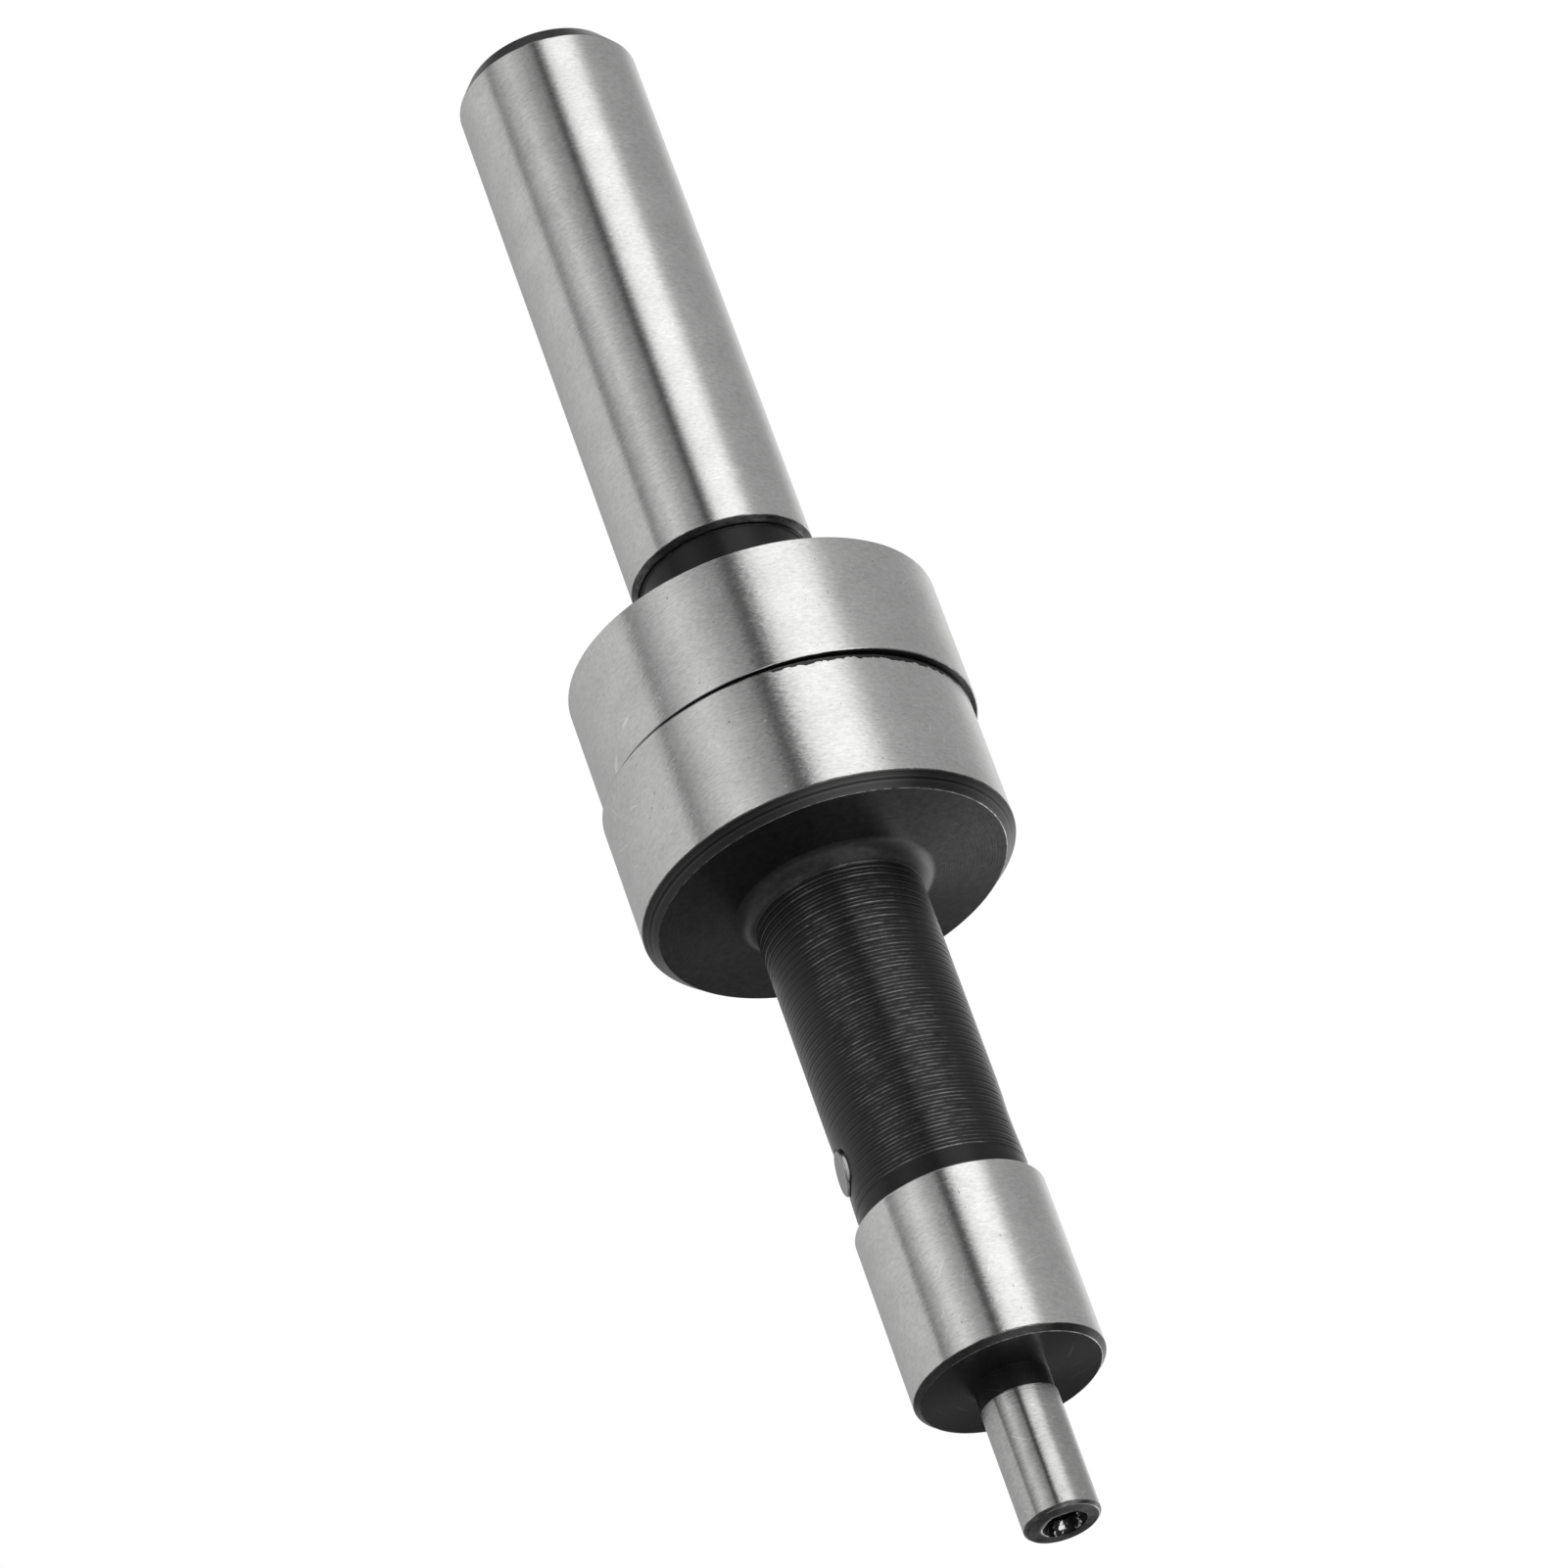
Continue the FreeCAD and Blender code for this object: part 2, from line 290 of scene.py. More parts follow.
# %% [markdown]
# The grid of a turned part is closed: its columns wrap round, and its first and last rows lie on the
# axis and shrink to a point. The mesh keeps a map of its own, the angle and the distance along the
# outline, which turning marks follow. It also carries values that the finishes read, such as how far a
# point lies from a border, and how worn it is.

# %% The turned map of a grid
TURNED_MAP = "turned"


def strip_corners(along, turn):
    """UV corners of the quads between rows and columns: turns (0 to 1) and distance along the outline."""
    left, above = np.meshgrid(turn[:-1], along[:-1])
    right, below = np.meshgrid(turn[1:], along[1:])
    return np.stack([left, above, left, below, right, below, right, above], axis=-1).reshape(-1, 2)


def fan_corners(order, turn, tip, rim):
    """UV corners of a fan of triangles, given in the order of its tip and the two rim points."""
    middle = (turn[:-1] + turn[1:]) / 2
    corners = {"tip": (middle, tip), "left": (turn[:-1], rim), "right": (turn[1:], rim)}
    pairs = [np.stack([corners[key][0], np.full(len(middle), corners[key][1])], axis=-1) for key in order]
    return np.stack(pairs, axis=1).reshape(-1, 2)


def closed_map(angles, along):
    """UV corners of all faces of a closed grid: quads first, then the first fan and the last one."""
    turn = np.append(angles, angles[0] + 2 * math.pi) / (2 * math.pi)
    return np.vstack([
        strip_corners(along[1:-1], turn),
        fan_corners(("tip", "left", "right"), turn, along[0], along[1]),
        fan_corners(("tip", "right", "left"), turn, along[-1], along[-2]),
    ])


print("UV corners of a grid of 4 rows and 3 columns:", len(closed_map(np.arange(3.0), np.arange(4.0))))

# %% A closed surface from a grid


def closed_faces(count, columns):
    """Point numbers of the faces of a closed grid, in the order of its map.

    Quads join each row to the next and each column to the next one round, and fans of triangles close
    the first and the last row to the two points that follow those of the rows between.
    """
    between = (count - 2) * columns
    here = np.arange(between).reshape(count - 2, columns)
    there = np.roll(here, -1, axis=1)
    quads = np.stack([here[:-1], here[1:], there[1:], there[:-1]], axis=-1).reshape(-1, 4)
    first, last = np.full(columns, between), np.full(columns, between + 1)
    top = np.stack([first, here[0], there[0]], axis=-1)
    low = np.stack([last, there[-1], here[-1]], axis=-1)
    return quads.tolist() + top.tolist() + low.tolist()


def closed_surface(name, grid, angles, along, values, strips):
    """Mesh object from a grid of points (rows, columns, 3) in millimetres.

    angles and along place the columns and rows on the map, values holds a number for each point of the
    grid under each title, and strips holds the material of each strip between two rows.
    """
    count, columns = grid.shape[:2]
    ends = grid[0].mean(axis=0), grid[-1].mean(axis=0)
    points = np.vstack([grid[1:-1].reshape(-1, 3), *ends]) * MM
    mesh = bpy.data.meshes.new(name)
    mesh.from_pydata(points.tolist(), [], closed_faces(count, columns))
    mesh.polygons.foreach_set("use_smooth", np.ones(len(mesh.polygons), bool))
    mesh.uv_layers.new(name=TURNED_MAP).data.foreach_set("uv", closed_map(angles, along).ravel())
    for title, field in values.items():
        full = np.concatenate([field[1:-1].ravel(), [field[0].mean(), field[-1].mean()]])
        mesh.attributes.new(title, "FLOAT", "POINT").data.foreach_set("value", full)
    materials = np.concatenate([np.repeat(strips[1:-1], columns), np.repeat(strips[[0, -1]], columns)])
    mesh.polygons.foreach_set("material_index", materials.astype(np.int32))
    mesh.update()
    piece = bpy.data.objects.new(name, mesh)
    bpy.context.scene.collection.objects.link(piece)
    print(name, "has", 2 * columns * (count - 2), "triangles")
    return piece


print("faces of a grid of 4 rows and 3 columns:", closed_faces(4, 3))

# %% [markdown]
# Two cross pins come out through the sides. A round hole in a grid of rows and columns could be cut by
# a boolean, which leaves long slivers. Here the grid itself is bent: squares of the grid round the
# pin's centre are drawn into circles, and the inner ones sink to form the countersink and the wall.

# %% Bend a grid round a cross hole
tiny = 1e-6


def smooth_step(x):
    """0 below 0, 1 above 1, and 3x^2 - 2x^3 between."""
    x = np.clip(x, 0, 1)
    return x * x * (3 - 2 * x)


def draw_circles(across, rise, rings, radii, blend_end):
    """Moves the squares round (0, 0) onto circles, and returns the new places and each point's square.

    A point on the square of half side c goes to the circle of radius R(c) on the same ray, where R is
    a line through (rings, radii). From the last ring to blend_end it fades back to its own place. Ring
    1 is the edge of the hole's floor, ring 2 the top of its wall and ring 3 the end of its countersink.
    """
    square = np.maximum(np.abs(across), np.abs(rise))
    distance = np.maximum(np.hypot(across, rise), tiny)
    radius = np.where(square < rings[-1], np.interp(square, rings, radii), square)
    fade = smooth_step((square - rings[-1]) / (blend_end - rings[-1]))
    scale = radius / distance * (1 - fade) + fade
    return across * scale, rise * scale, square


def hole_lines(rings, blend_end, inner_steps, outer_steps):
    """Distances off the hole's middle, to both sides, where its squares need rows or columns."""
    inner = np.linspace(0, rings[1], inner_steps)
    outer = np.linspace(rings[-1], blend_end, outer_steps)
    half = np.unique(np.round(np.concatenate([inner, rings[1:], outer]), 6))
    return np.concatenate([-half[:0:-1], half])


def column_angles(holes, lines, reach, step):
    """Angles of all columns on a shaft of radius reach.

    A line at distance q off the middle of a hole lies at the angle asin(q / reach) from it. Even steps
    fill the two gaps between the opposite holes.
    """
    fan = np.arcsin(lines / reach)
    gap = math.pi - 2 * fan[-1]
    even = np.linspace(0, gap, math.ceil(gap / step) + 1)[1:-1]
    return np.concatenate([np.concatenate([hole + fan, hole + fan[-1] + even]) for hole in holes])


drawn_corner = draw_circles(0.5, 0.5, np.array([0.0, 1.0]), np.array([0.0, 1.0]), 2.0)[:2]
print("the corner (0.5, 0.5) of a square is drawn to", np.round(drawn_corner, 3))

# %% [markdown]
# The shank is turned from one bar with the upper flange. Its round surfaces are ground bright after
# blackening, and its chamfers, its groove and the faces stay black. The bore for the spring comes in
# from below and the centre hole from above, so the outline starts in one and ends in the other.

# %% Outline of the shank and its flange
MATERIAL_ORDER = ("ground", "black", "drilled")
cone_slope = math.tan(math.radians(30.0))
drill_slope = math.tan(math.radians(59.0))
column_step = math.radians(2.2)


def arbor_outline():
    """Corners from the bottom of the centre hole, over the shank and flange, to the bore's end."""
    cone_depth = (shank_centre_mouth - shank_centre_pilot) / cone_slope
    pilot_end = shank_top_z - cone_depth - shank_centre_pilot_length
    corners = [
        (0, pilot_end - shank_centre_pilot / drill_slope),
        (shank_centre_pilot, pilot_end),
        (shank_centre_pilot, shank_top_z - cone_depth),
        (shank_centre_mouth, shank_top_z),
        (shank_radius - shank_top_chamfer_depth, shank_top_z),
        (shank_radius, shank_ground_length),
        (shank_radius, 0),
        (shank_radius - shank_low_chamfer, -shank_low_chamfer),
        (groove_radius, -shank_low_chamfer),
        (groove_radius, flange_top_z),
        (flange_radius, flange_top_z),
        (flange_radius, split_z + upper_edge_break),
        (flange_radius - upper_edge_break, split_z),
        (bore_radius + bore_mouth_chamfer, split_z),
        (bore_radius, split_z + bore_mouth_chamfer),
        (bore_radius, upper_bore_end_z),
        (0, upper_bore_end_z + bore_radius / drill_slope),
    ]
    finishes = [BLACK] * 5 + [GROUND] + [BLACK] * 4 + [GROUND] * 2 + [BLACK] * 4
    return corners, finishes


def strip_materials(rows, drilled_runs):
    """Material of each strip between two rows: by its finish, or drilled in the given runs."""
    middle = (rows[:-1, 3] + rows[1:, 3]) / 2
    run = np.floor(rows[1:, 5])
    by_finish = np.where(middle > 0, MATERIAL_ORDER.index("ground"), MATERIAL_ORDER.index("black"))
    return np.where(np.isin(run, drilled_runs), MATERIAL_ORDER.index("drilled"), by_finish)


def turned_grid(rows, angles):
    """Grid of a turned part: x = r cos a, y = r sin a, z, for each row's r and z."""
    radius = rows[:, 0:1]
    x, y = radius * np.cos(angles), radius * np.sin(angles)
    return np.stack([x, y, np.broadcast_to(rows[:, 1:2], x.shape)], axis=-1)


print("the shank's outline has", len(arbor_outline()[0]), "corners")

# %% [markdown]
# A run is the stretch between two corners of an outline, and each run has its own finish. On the
# shank, run 4 is the top chamfer, 5 the ground length, 6 the chamfer under it, 7 the step down to the
# groove, 8 the groove, 9 the flange's top, 10 its side and 12 its lower face. On black, polish is 1
# where a sharp tool cut smooth, and crest is how far the black is rubbed through; on the stylus's neck
# it also carries a painted highlight. On ground steel, wear is 1 where it took the most knocks. Fray is
# how far a border wanders, in millimetres.

# %% Values for the finishes
soft_cut = 0.07
arbor_rounds = {7: (soft_cut, soft_steps), 8: (soft_cut, soft_steps)}
arbor_shares = {
    "polish": {4: 0.2, 6: 1.0, 7: 1.0, 9: 1.0, 12: 1.0},
    "wear": {5: 0.3, 10: 1.0},
    "crest": {6: 0.5, 7: 0.5},
}
plain_fray = 0.05


def row_values(rows, count, shares):
    """Values of each row for the finishes, repeated over all columns.

    border and corner come from the rows. shares gives the others as values of some runs: a value is 0 on
    the runs that it leaves out, and half way between those of two runs on the corner where they meet.
    """
    runs = np.arange(rows[-1, 5] + 1)
    fields = {"border": rows[:, 3], "corner": rows[:, 4]}
    for title, given in shares.items():
        fields[title] = np.interp(rows[:, 5], runs, [given.get(int(run), 0.0) for run in runs])
    return {title: np.repeat(field[:, None], count, axis=1) for title, field in fields.items()}


print("values that vary from run to run on the shank:", list(arbor_shares))

# %% The upper pin's hole in the groove
GROOVE_RUN = 8
upper_rings = np.array([0.0, 0.70, 0.76, 0.82])
upper_radii = np.array([0.0, 1.0, 1.0, 1.0]) * (upper_pin_radius + pin_hole_clearance)
upper_radii[3] = upper_rings[3]
upper_blend_end = 1.25
upper_hole_depth = 0.8
upper_lines = hole_lines(upper_rings, upper_blend_end, inner_steps=8, outer_steps=5)
rows_under_shank = np.array([edge_cut, 0.1, 0.4, 0.9, 1.5])
rows_over_flange = np.array([0.3, 0.1, edge_cut])


def groove_distances():
    """Row distances down the groove, with the squares of the pin's hole above and below its middle."""
    length, middle = -shank_low_chamfer - flange_top_z, -shank_low_chamfer - upper_pin_z
    return np.concatenate([rows_under_shank, middle + upper_lines, length - rows_over_flange])


def press_upper_hole(grid, rows):
    """Draws the groove's squares into circles at both ends of the pin, and sinks the inner ones."""
    groove = rows[:, 5] == GROOVE_RUN
    block = grid[groove]
    for way in (-1, 1):
        across, rise, square = draw_circles(
            block[..., 0], block[..., 2] - upper_pin_z, upper_rings, upper_radii, upper_blend_end
        )
        depth = np.interp(square, upper_rings[1:3], [upper_hole_depth, 0.0])
        out = np.sqrt(np.maximum(groove_radius ** 2 - across ** 2, 0.0)) - depth
        near = (block[..., 1] * way > 0) & (square < upper_blend_end)
        block = np.where(near[..., None], np.stack([across, way * out, rise + upper_pin_z], axis=-1), block)
    grid[groove] = block
    return grid


print("rows down the groove:", len(groove_distances()))

# %% The shank, groove and upper flange
shank_hole_runs = (0, 1, 2)


def make_arbor():
    """The shank, groove and upper flange as one closed surface."""
    corners, finishes = arbor_outline()
    rows = outline_rows(corners, finishes, arbor_rounds, {GROOVE_RUN: groove_distances()})
    angles = column_angles((-math.pi / 2, math.pi / 2), upper_lines, groove_radius, column_step)
    grid = press_upper_hole(turned_grid(rows, angles), rows)
    values = row_values(rows, len(angles), arbor_shares)
    values["fray"] = np.full(grid.shape[:2], plain_fray)
    strips = strip_materials(rows, shank_hole_runs)
    return closed_surface("arbor", grid, angles, rows[:, 2], values, strips)


arbor = make_arbor()
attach(arbor, "arbor")
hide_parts("shank_arbor")

# %% [markdown]
# The stylus is turned from one bar too: flange, neck, head and tip. Its neck keeps the marks of the
# turning tool, one shallow trough for each turn of the work, with a sharp ridge between two troughs.
# They could be painted on as bumps, but real troughs glint as the light moves, so they are modelled.
# The underside of the flange is crowned: it falls a little towards the neck, so that its two halves
# look into different parts of the room and don't come out equally light.

# %% Outline of the stylus
NECK_RUN, CONE_RUN, PILOT_RUN = 8, 19, 20
ridge_pitch = 0.215
ridge_steps = 4
ridge_start_z, ridge_end_z = -21.45, -38.75
row_step = ridge_pitch / ridge_steps
rows_over_head = np.array([0.85, 0.6, 0.3, 0.12, 0.07, edge_cut])


def stylus_outline():
    """Corners from the bottom of the bore, over flange, neck, head and tip, to the centre hole's end."""
    cone_depth = (tip_centre_mouth - tip_centre_pilot) / cone_slope
    pilot_end = tip_end_z + cone_depth + tip_centre_pilot_length
    corners = [
        (0, lower_bore_end_z - bore_radius / drill_slope),
        (bore_radius, lower_bore_end_z),
        (bore_radius, split_z - bore_mouth_chamfer),
        (bore_radius + bore_mouth_chamfer, split_z),
        (flange_radius - lower_edge_break, split_z),
        (flange_radius, split_z - lower_edge_break),
        (flange_radius, flange_bottom_z + flange_chamfer),
        (flange_radius - flange_chamfer, flange_bottom_z),
        (neck_radius, flange_bottom_z - flange_crown),
        (neck_radius, head_top_z),
        (head_radius - head_top_break, head_top_z),
        (head_radius, head_top_z - head_top_break),
        (head_radius, head_bottom_z + head_chamfer),
        (head_radius - head_chamfer, head_bottom_z),
        (tip_radius - tip_relief_depth, head_bottom_z),
        (tip_radius - tip_relief_depth, tip_relief_end_z),
        (tip_radius, tip_relief_end_z),
        (tip_radius, tip_end_z + tip_chamfer),
        (tip_radius - tip_chamfer, tip_end_z),
        (tip_centre_mouth, tip_end_z),
        (tip_centre_pilot, tip_end_z + cone_depth),
        (tip_centre_pilot, pilot_end),
        (0, pilot_end + tip_centre_pilot / drill_slope),
    ]
    finishes = [BLACK] * 5 + [GROUND] + [BLACK] * 4 + [GROUND] * 2 + [BLACK] * 4 + [GROUND] + [BLACK] * 5
    return corners, finishes


def neck_distances():
    """Row distances down the neck: four to each ridge, counted from the pin, and plain ones below."""
    first = math.ceil((ridge_end_z - lower_pin_z) / row_step)
    last = math.floor((ridge_start_z - lower_pin_z) / row_step)
    heights = lower_pin_z + row_step * np.arange(last, first - 1, -1)
    top_z = flange_bottom_z - flange_crown
    return np.concatenate([[neck_fillet], top_z - heights, top_z - head_top_z - rows_over_head])


print("the stylus's outline has", len(stylus_outline()[0]), "corners")
print("rows down the neck:", len(neck_distances()))

# %% Ridges and the dish round the pin
ridge_depth, ridge_swing = 0.024, 0.35
ridge_fade_start, ridge_fade_width = 1.8, 0.9
dish_radius, dish_depth = 2.5, 0.08
ridge_count = math.ceil((ridge_start_z - ridge_end_z) / ridge_pitch) + 2
random_ridges = np.random.default_rng(7)
ridge_depths = ridge_depth * (1 + ridge_swing * (-1) ** np.arange(ridge_count))
ridge_depths *= random_ridges.uniform(0.75, 1.2, ridge_count)
crest_highlight_strengths = random_ridges.uniform(0.55, 1.0, ridge_count)


def neck_surface(height, off_pin):
    """Radius of the neck at a height and a distance off the pin's middle.

    Each trough is R - d (1 - (2f - 1)^2), where f runs from 0 to 1 over one pitch. Round the pin the
    troughs fade and a dish of depth D (1 - (q / Q)^2)^2 takes their place.
    """
    phase = (height - lower_pin_z) / ridge_pitch
    ring = np.floor(phase)
    share = phase - ring
    first = math.floor((ridge_end_z - lower_pin_z) / ridge_pitch)
    depth = ridge_depths[np.clip(ring - first, 0, ridge_count - 1).astype(int)]
    turned = (height < ridge_start_z) & (height > ridge_end_z)
    trough = np.where(turned, depth * (1 - (2 * share - 1) ** 2), 0.0)
    dish = dish_depth * np.clip(1 - (off_pin / dish_radius) ** 2, 0, 1) ** 2
    return neck_radius - trough * smooth_step((off_pin - ridge_fade_start) / ridge_fade_width) - dish


print(ridge_count, "ridges, from", ridge_depths.min().round(4), "to", ridge_depths.max().round(4), "mm deep")

# %% The lower pin's holes
lower_rings = np.array([0.0, 22, 23, 27]) * row_step
lower_radii = np.array([0.0, 1.0, 1.0, 1.0]) * (lower_pin_radius + pin_hole_clearance)
lower_radii[3] += pin_hole_countersink
lower_blend_end = 2.4
lower_hole_floor = 3.3
lower_lines = hole_lines(lower_rings, lower_blend_end, inner_steps=9, outer_steps=6)


def carve_neck(grid, rows):
    """Cuts the ridges, and at both ends of the pin the dish, the countersink and the hole's wall."""
    neck = rows[:, 5] == NECK_RUN
    block = grid[neck]
    for way in (-1, 1):
        side = block[..., 0] * way > 0
        across, rise, square = draw_circles(
            block[..., 1], block[..., 2] - lower_pin_z, lower_rings, lower_radii, lower_blend_end
        )
        inside = square < lower_blend_end
        off_pin = np.where(side, np.hypot(block[..., 1], block[..., 2] - lower_pin_z), np.inf)
        off_pin = np.where(inside & side, np.hypot(across, rise), off_pin)
        across = np.where(inside, across, block[..., 1])
        height = np.where(inside, rise, block[..., 2] - lower_pin_z) + lower_pin_z
        radius = neck_surface(height, off_pin)
        angle = np.arctan2(block[..., 1], block[..., 0] * way)
        plain = np.stack([way * radius * np.cos(angle), radius * np.sin(angle), height], axis=-1)
        out = np.sqrt(np.maximum(radius ** 2 - across ** 2, 0.0))
        cone = neck_radius - pin_hole_countersink + off_pin - lower_radii[1]
        out = np.where(square < lower_rings[3] + tiny, np.minimum(out, cone), out)
        out = np.where(square < lower_rings[1] + tiny, lower_hole_floor, out)
        drawn = np.stack([way * out, across, height], axis=-1)
        shaped = np.where(inside[..., None], drawn, plain)
        block = np.where(side[..., None], shaped, block)
    grid[neck] = block
    return grid


print("squares of the lower pin's holes end at", np.round(lower_rings, 3), "mm")

# %% [markdown]
# Three things keep the stylus from looking like a drawing. Its centre hole was cut by a drill that
# chattered and wandered. On one side of the split, chips broke out of the edge before it was blackened,
# and they are drawn wider on that side, placed by the camera's side, which paints the shade of the gap
# between the flanges. And the ridges of the neck are painted bright on the camera's side, as a painted
# highlight. The runs have their own finish again: 3 and 4 are the upper face and its edge, 5 the
# flange's side, 6 and 7 its chamfer and underside, 9 the head's top, 11 its side, 12 its chamfer, 16 the
# tip's side, and 17 and 18 the tip's chamfer and end. Two more values serve it: lined is 1 on the
# flange's chamfer, where the tool left fine lines, and dull is 1 on the tip, which is less bright than
# the head.

# %% Lobes, chips with painted shade, and crests with a painted highlight
lobe_depth, lobe_count, lobe_turn = 0.03, 6, 0.6
second_lobe_share, second_lobe_count = 0.4, 5
hole_drift = np.array([0.16, 0.17])
# Chips at the split are drawn wider on one side, which paints the shade of the gap between the flanges.
chip_and_shade_fray, chip_and_shade_depth = 0.30, 1.0
chip_and_shade_side, chip_and_shade_start, chip_and_shade_width = math.radians(46.0), 0.55, 0.35
# The neck's crests are painted bright on this side, as a painted highlight.
highlight_side, highlight_start, highlight_width = math.radians(4.0), 0.74, 0.12
camera_side = math.atan2(-deep_way[1], -deep_way[0])


def lobe_centre_hole(grid, rows, angles):
    """Lets the centre hole's radius swing by a small share and its middle drift.

    The share is d (cos(6 a + t) + s cos(5 a)), whole on the cone and fading to nothing down the pilot.
    """
    run = rows[:, 5]
    in_hole = run >= CONE_RUN - 0.5
    fade = np.interp(run, [CONE_RUN, PILOT_RUN, PILOT_RUN + 1], [1.0, 0.6, 0.0])
    lobes = np.cos(lobe_count * angles + lobe_turn) + second_lobe_share * np.cos(second_lobe_count * angles)
    swing = 1 + lobe_depth * (fade * in_hole)[:, None] * lobes
    grid[..., :2] *= swing[..., None]
    grid[..., :2] += hole_drift * in_hole[:, None, None]
    return grid


def side_mask(angles, side, start, width):
    """1 on one side of a round part and 0 on the others: a smooth step of the cosine of the angle off it."""
    return smooth_step((np.cos(angles - camera_side - side) - start) / width)


def frayed_edge(rows, angles):
    """Reach in millimetres of the ragged border: long at one side of the split, for chips that broke out and
    for painted shade of the gap there.
    """
    chip_and_shade = side_mask(angles, chip_and_shade_side, chip_and_shade_start, chip_and_shade_width)
    return plain_fray + chip_and_shade_fray * chip_and_shade * (rows[:, 1] > split_z - chip_and_shade_depth)[:, None]


def neck_crest_highlights(rows, angles):
    """Up to 1 on the ridges between the neck's troughs, on the camera's side: a painted highlight."""
    phase = (rows[:, 1] - lower_pin_z) / ridge_pitch
    on_crest = np.abs(phase - np.round(phase)) < 0.5 / ridge_steps
    ridged = (rows[:, 5] == NECK_RUN) & (rows[:, 1] < ridge_start_z) & (rows[:, 1] > ridge_end_z)
    strength = crest_highlight_strengths[np.round(phase).astype(int) % ridge_count]
    rub_and_highlight = side_mask(angles, highlight_side, highlight_start, highlight_width)
    return (on_crest * ridged * strength)[:, None] * rub_and_highlight


print("the camera's side of the tool is at", round(math.degrees(camera_side)), "degrees")

# %% The stylus
fillet_steps = np.arange(1, 12) / 12
tip_corner_cut = 0.008
stylus_rounds = {8: (neck_fillet, fillet_steps), 14: (tip_corner_cut, edge_steps)}
stylus_shares = {
    "polish": {3: 1.0, 4: 1.0, 6: 1.0, 7: 1.0, 9: 0.5, 12: 1.0, 17: 0.6, 18: 1.0},
    "wear": {5: 1.0, 11: 0.7, 16: 0.6},
    "crest": {17: 0.6, 18: 0.6},
    "lined": {6: 1.0},
    "dull": {16: 1.0},
}
tip_hole_runs = (CONE_RUN, PILOT_RUN, PILOT_RUN + 1)


def make_stylus():
    """Flange, neck, head and tip as one closed surface about the stylus's own axis."""
    corners, finishes = stylus_outline()
    rows = outline_rows(corners, finishes, stylus_rounds, {NECK_RUN: neck_distances()})
    angles = column_angles((0.0, math.pi), lower_lines, neck_radius, column_step)
    grid = carve_neck(turned_grid(rows, angles), rows)
    grid = lobe_centre_hole(grid, rows, angles)
    grid[..., :2] += stylus_centre
    values = row_values(rows, len(angles), stylus_shares)
    # A painted highlight on the neck's crests, on the camera's side.
    values["crest"] += neck_crest_highlights(rows, angles)
    # Wider chips on one side of the split, which paint the shade of the gap.
    values["fray"] = frayed_edge(rows, angles)
    strips = strip_materials(rows, tip_hole_runs)
    return closed_surface("stylus_skin", grid, angles, rows[:, 2], values, strips)


stylus = make_stylus()
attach(stylus, "stylus")
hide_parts("stylus")

# %% [markdown]
# The two cross pins hold the spring's eyes. Each is a cut and broken length of hardened rod, pressed
# into its hole. They are turned surfaces again, laid down along X or Y by passing the axes round.

# %% Cross pins
pin_break = 0.1
pin_dome = 0.04
pin_columns = 96


def make_pin(name, radius, low, high, axis, centre):
    """A pin from low to high along an axis: slightly domed ends, broken edges and a plain wall."""
    corners = [
        (0, high),
        (radius - pin_break, high - pin_dome / 2),
        (radius, high - pin_dome / 2 - pin_break),
        (radius, low + pin_dome / 2 + pin_break),
        (radius - pin_break, low + pin_dome / 2),
        (0, low),
    ]
    rows = outline_rows(corners, [BLACK, BLACK, GROUND, BLACK, BLACK], {}, {})
    angles = np.arange(pin_columns) / pin_columns * 2 * math.pi
    grid = np.roll(turned_grid(rows, angles), axis + 1, axis=-1)
    grid += np.array(centre)
    values = row_values(rows, pin_columns, {})
    return closed_surface(name, grid, angles, rows[:, 2], values, np.zeros(len(rows) - 1))


lower_pin = make_pin(
    "lower_pin", lower_pin_radius, lower_pin_low[0], lower_pin_high[0], 0, (0, stylus_centre[1], lower_pin_z)
)
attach(lower_pin, "stylus")
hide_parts("lower_spring_pin")

upper_pin = make_pin(
    "upper_pin", upper_pin_radius, upper_pin_low[1], upper_pin_high[1], 1, (0, 0, upper_pin_z)
)
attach(upper_pin, "arbor")
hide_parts("upper_spring_pin")

# %% [markdown]
# The spring hides in the bores. It is one drawn wire: an eye over the lower pin, a leg, the coil, a
# second leg and an eye over the upper pin, a quarter turn from the first. A profile carried along a
# path needs a direction across the path at every point. Here it comes from the shape itself: the coil's
# radius on the coil and the bends, and the eye's own axis on the eyes.

# %% Route of the spring's wire
coil_slope = math.atan2(coil_pitch, 2 * math.pi * coil_radius)
lead_angle = math.atan2(hook_reach, coil_radius)
coil_start = math.pi / 2 + lead_angle
coil_turn = 2 * math.pi * full_turns - math.pi / 2 - 2 * lead_angle
coil_height = coil_pitch * coil_turn / (2 * math.pi)
coil_low_z = (upper_eye_z + lower_eye_z - coil_height) / 2
bend_steps, leg_steps, eye_steps, steps_per_turn = 14, 10, 60, 40


def coil_points(angle):
    """Points, tangents and outward directions of the helix at the given angles."""
    flat = np.zeros_like(angle)
    out = np.stack([np.cos(angle), np.sin(angle), flat], axis=-1)
    round_way = np.stack([-np.sin(angle), np.cos(angle), flat], axis=-1)
    tangent = round_way * math.cos(coil_slope) + up_way * math.sin(coil_slope)
    height = coil_low_z + coil_pitch * (angle - coil_start) / (2 * math.pi)
    return out * coil_radius + up_way * height[:, None], tangent, out


def bend_points(start, way, tangent):
    """Arc from a point along its tangent into a straight leg that points up (way 1) or down (way -1)."""
    reach = hook_reach / math.cos(coil_slope)
    corner = start + tangent * reach
    leg_start = corner + up_way * way * reach
    arc = round_corner(start, corner, leg_start, np.linspace(0, 1, bend_steps))
    return arc, leg_start


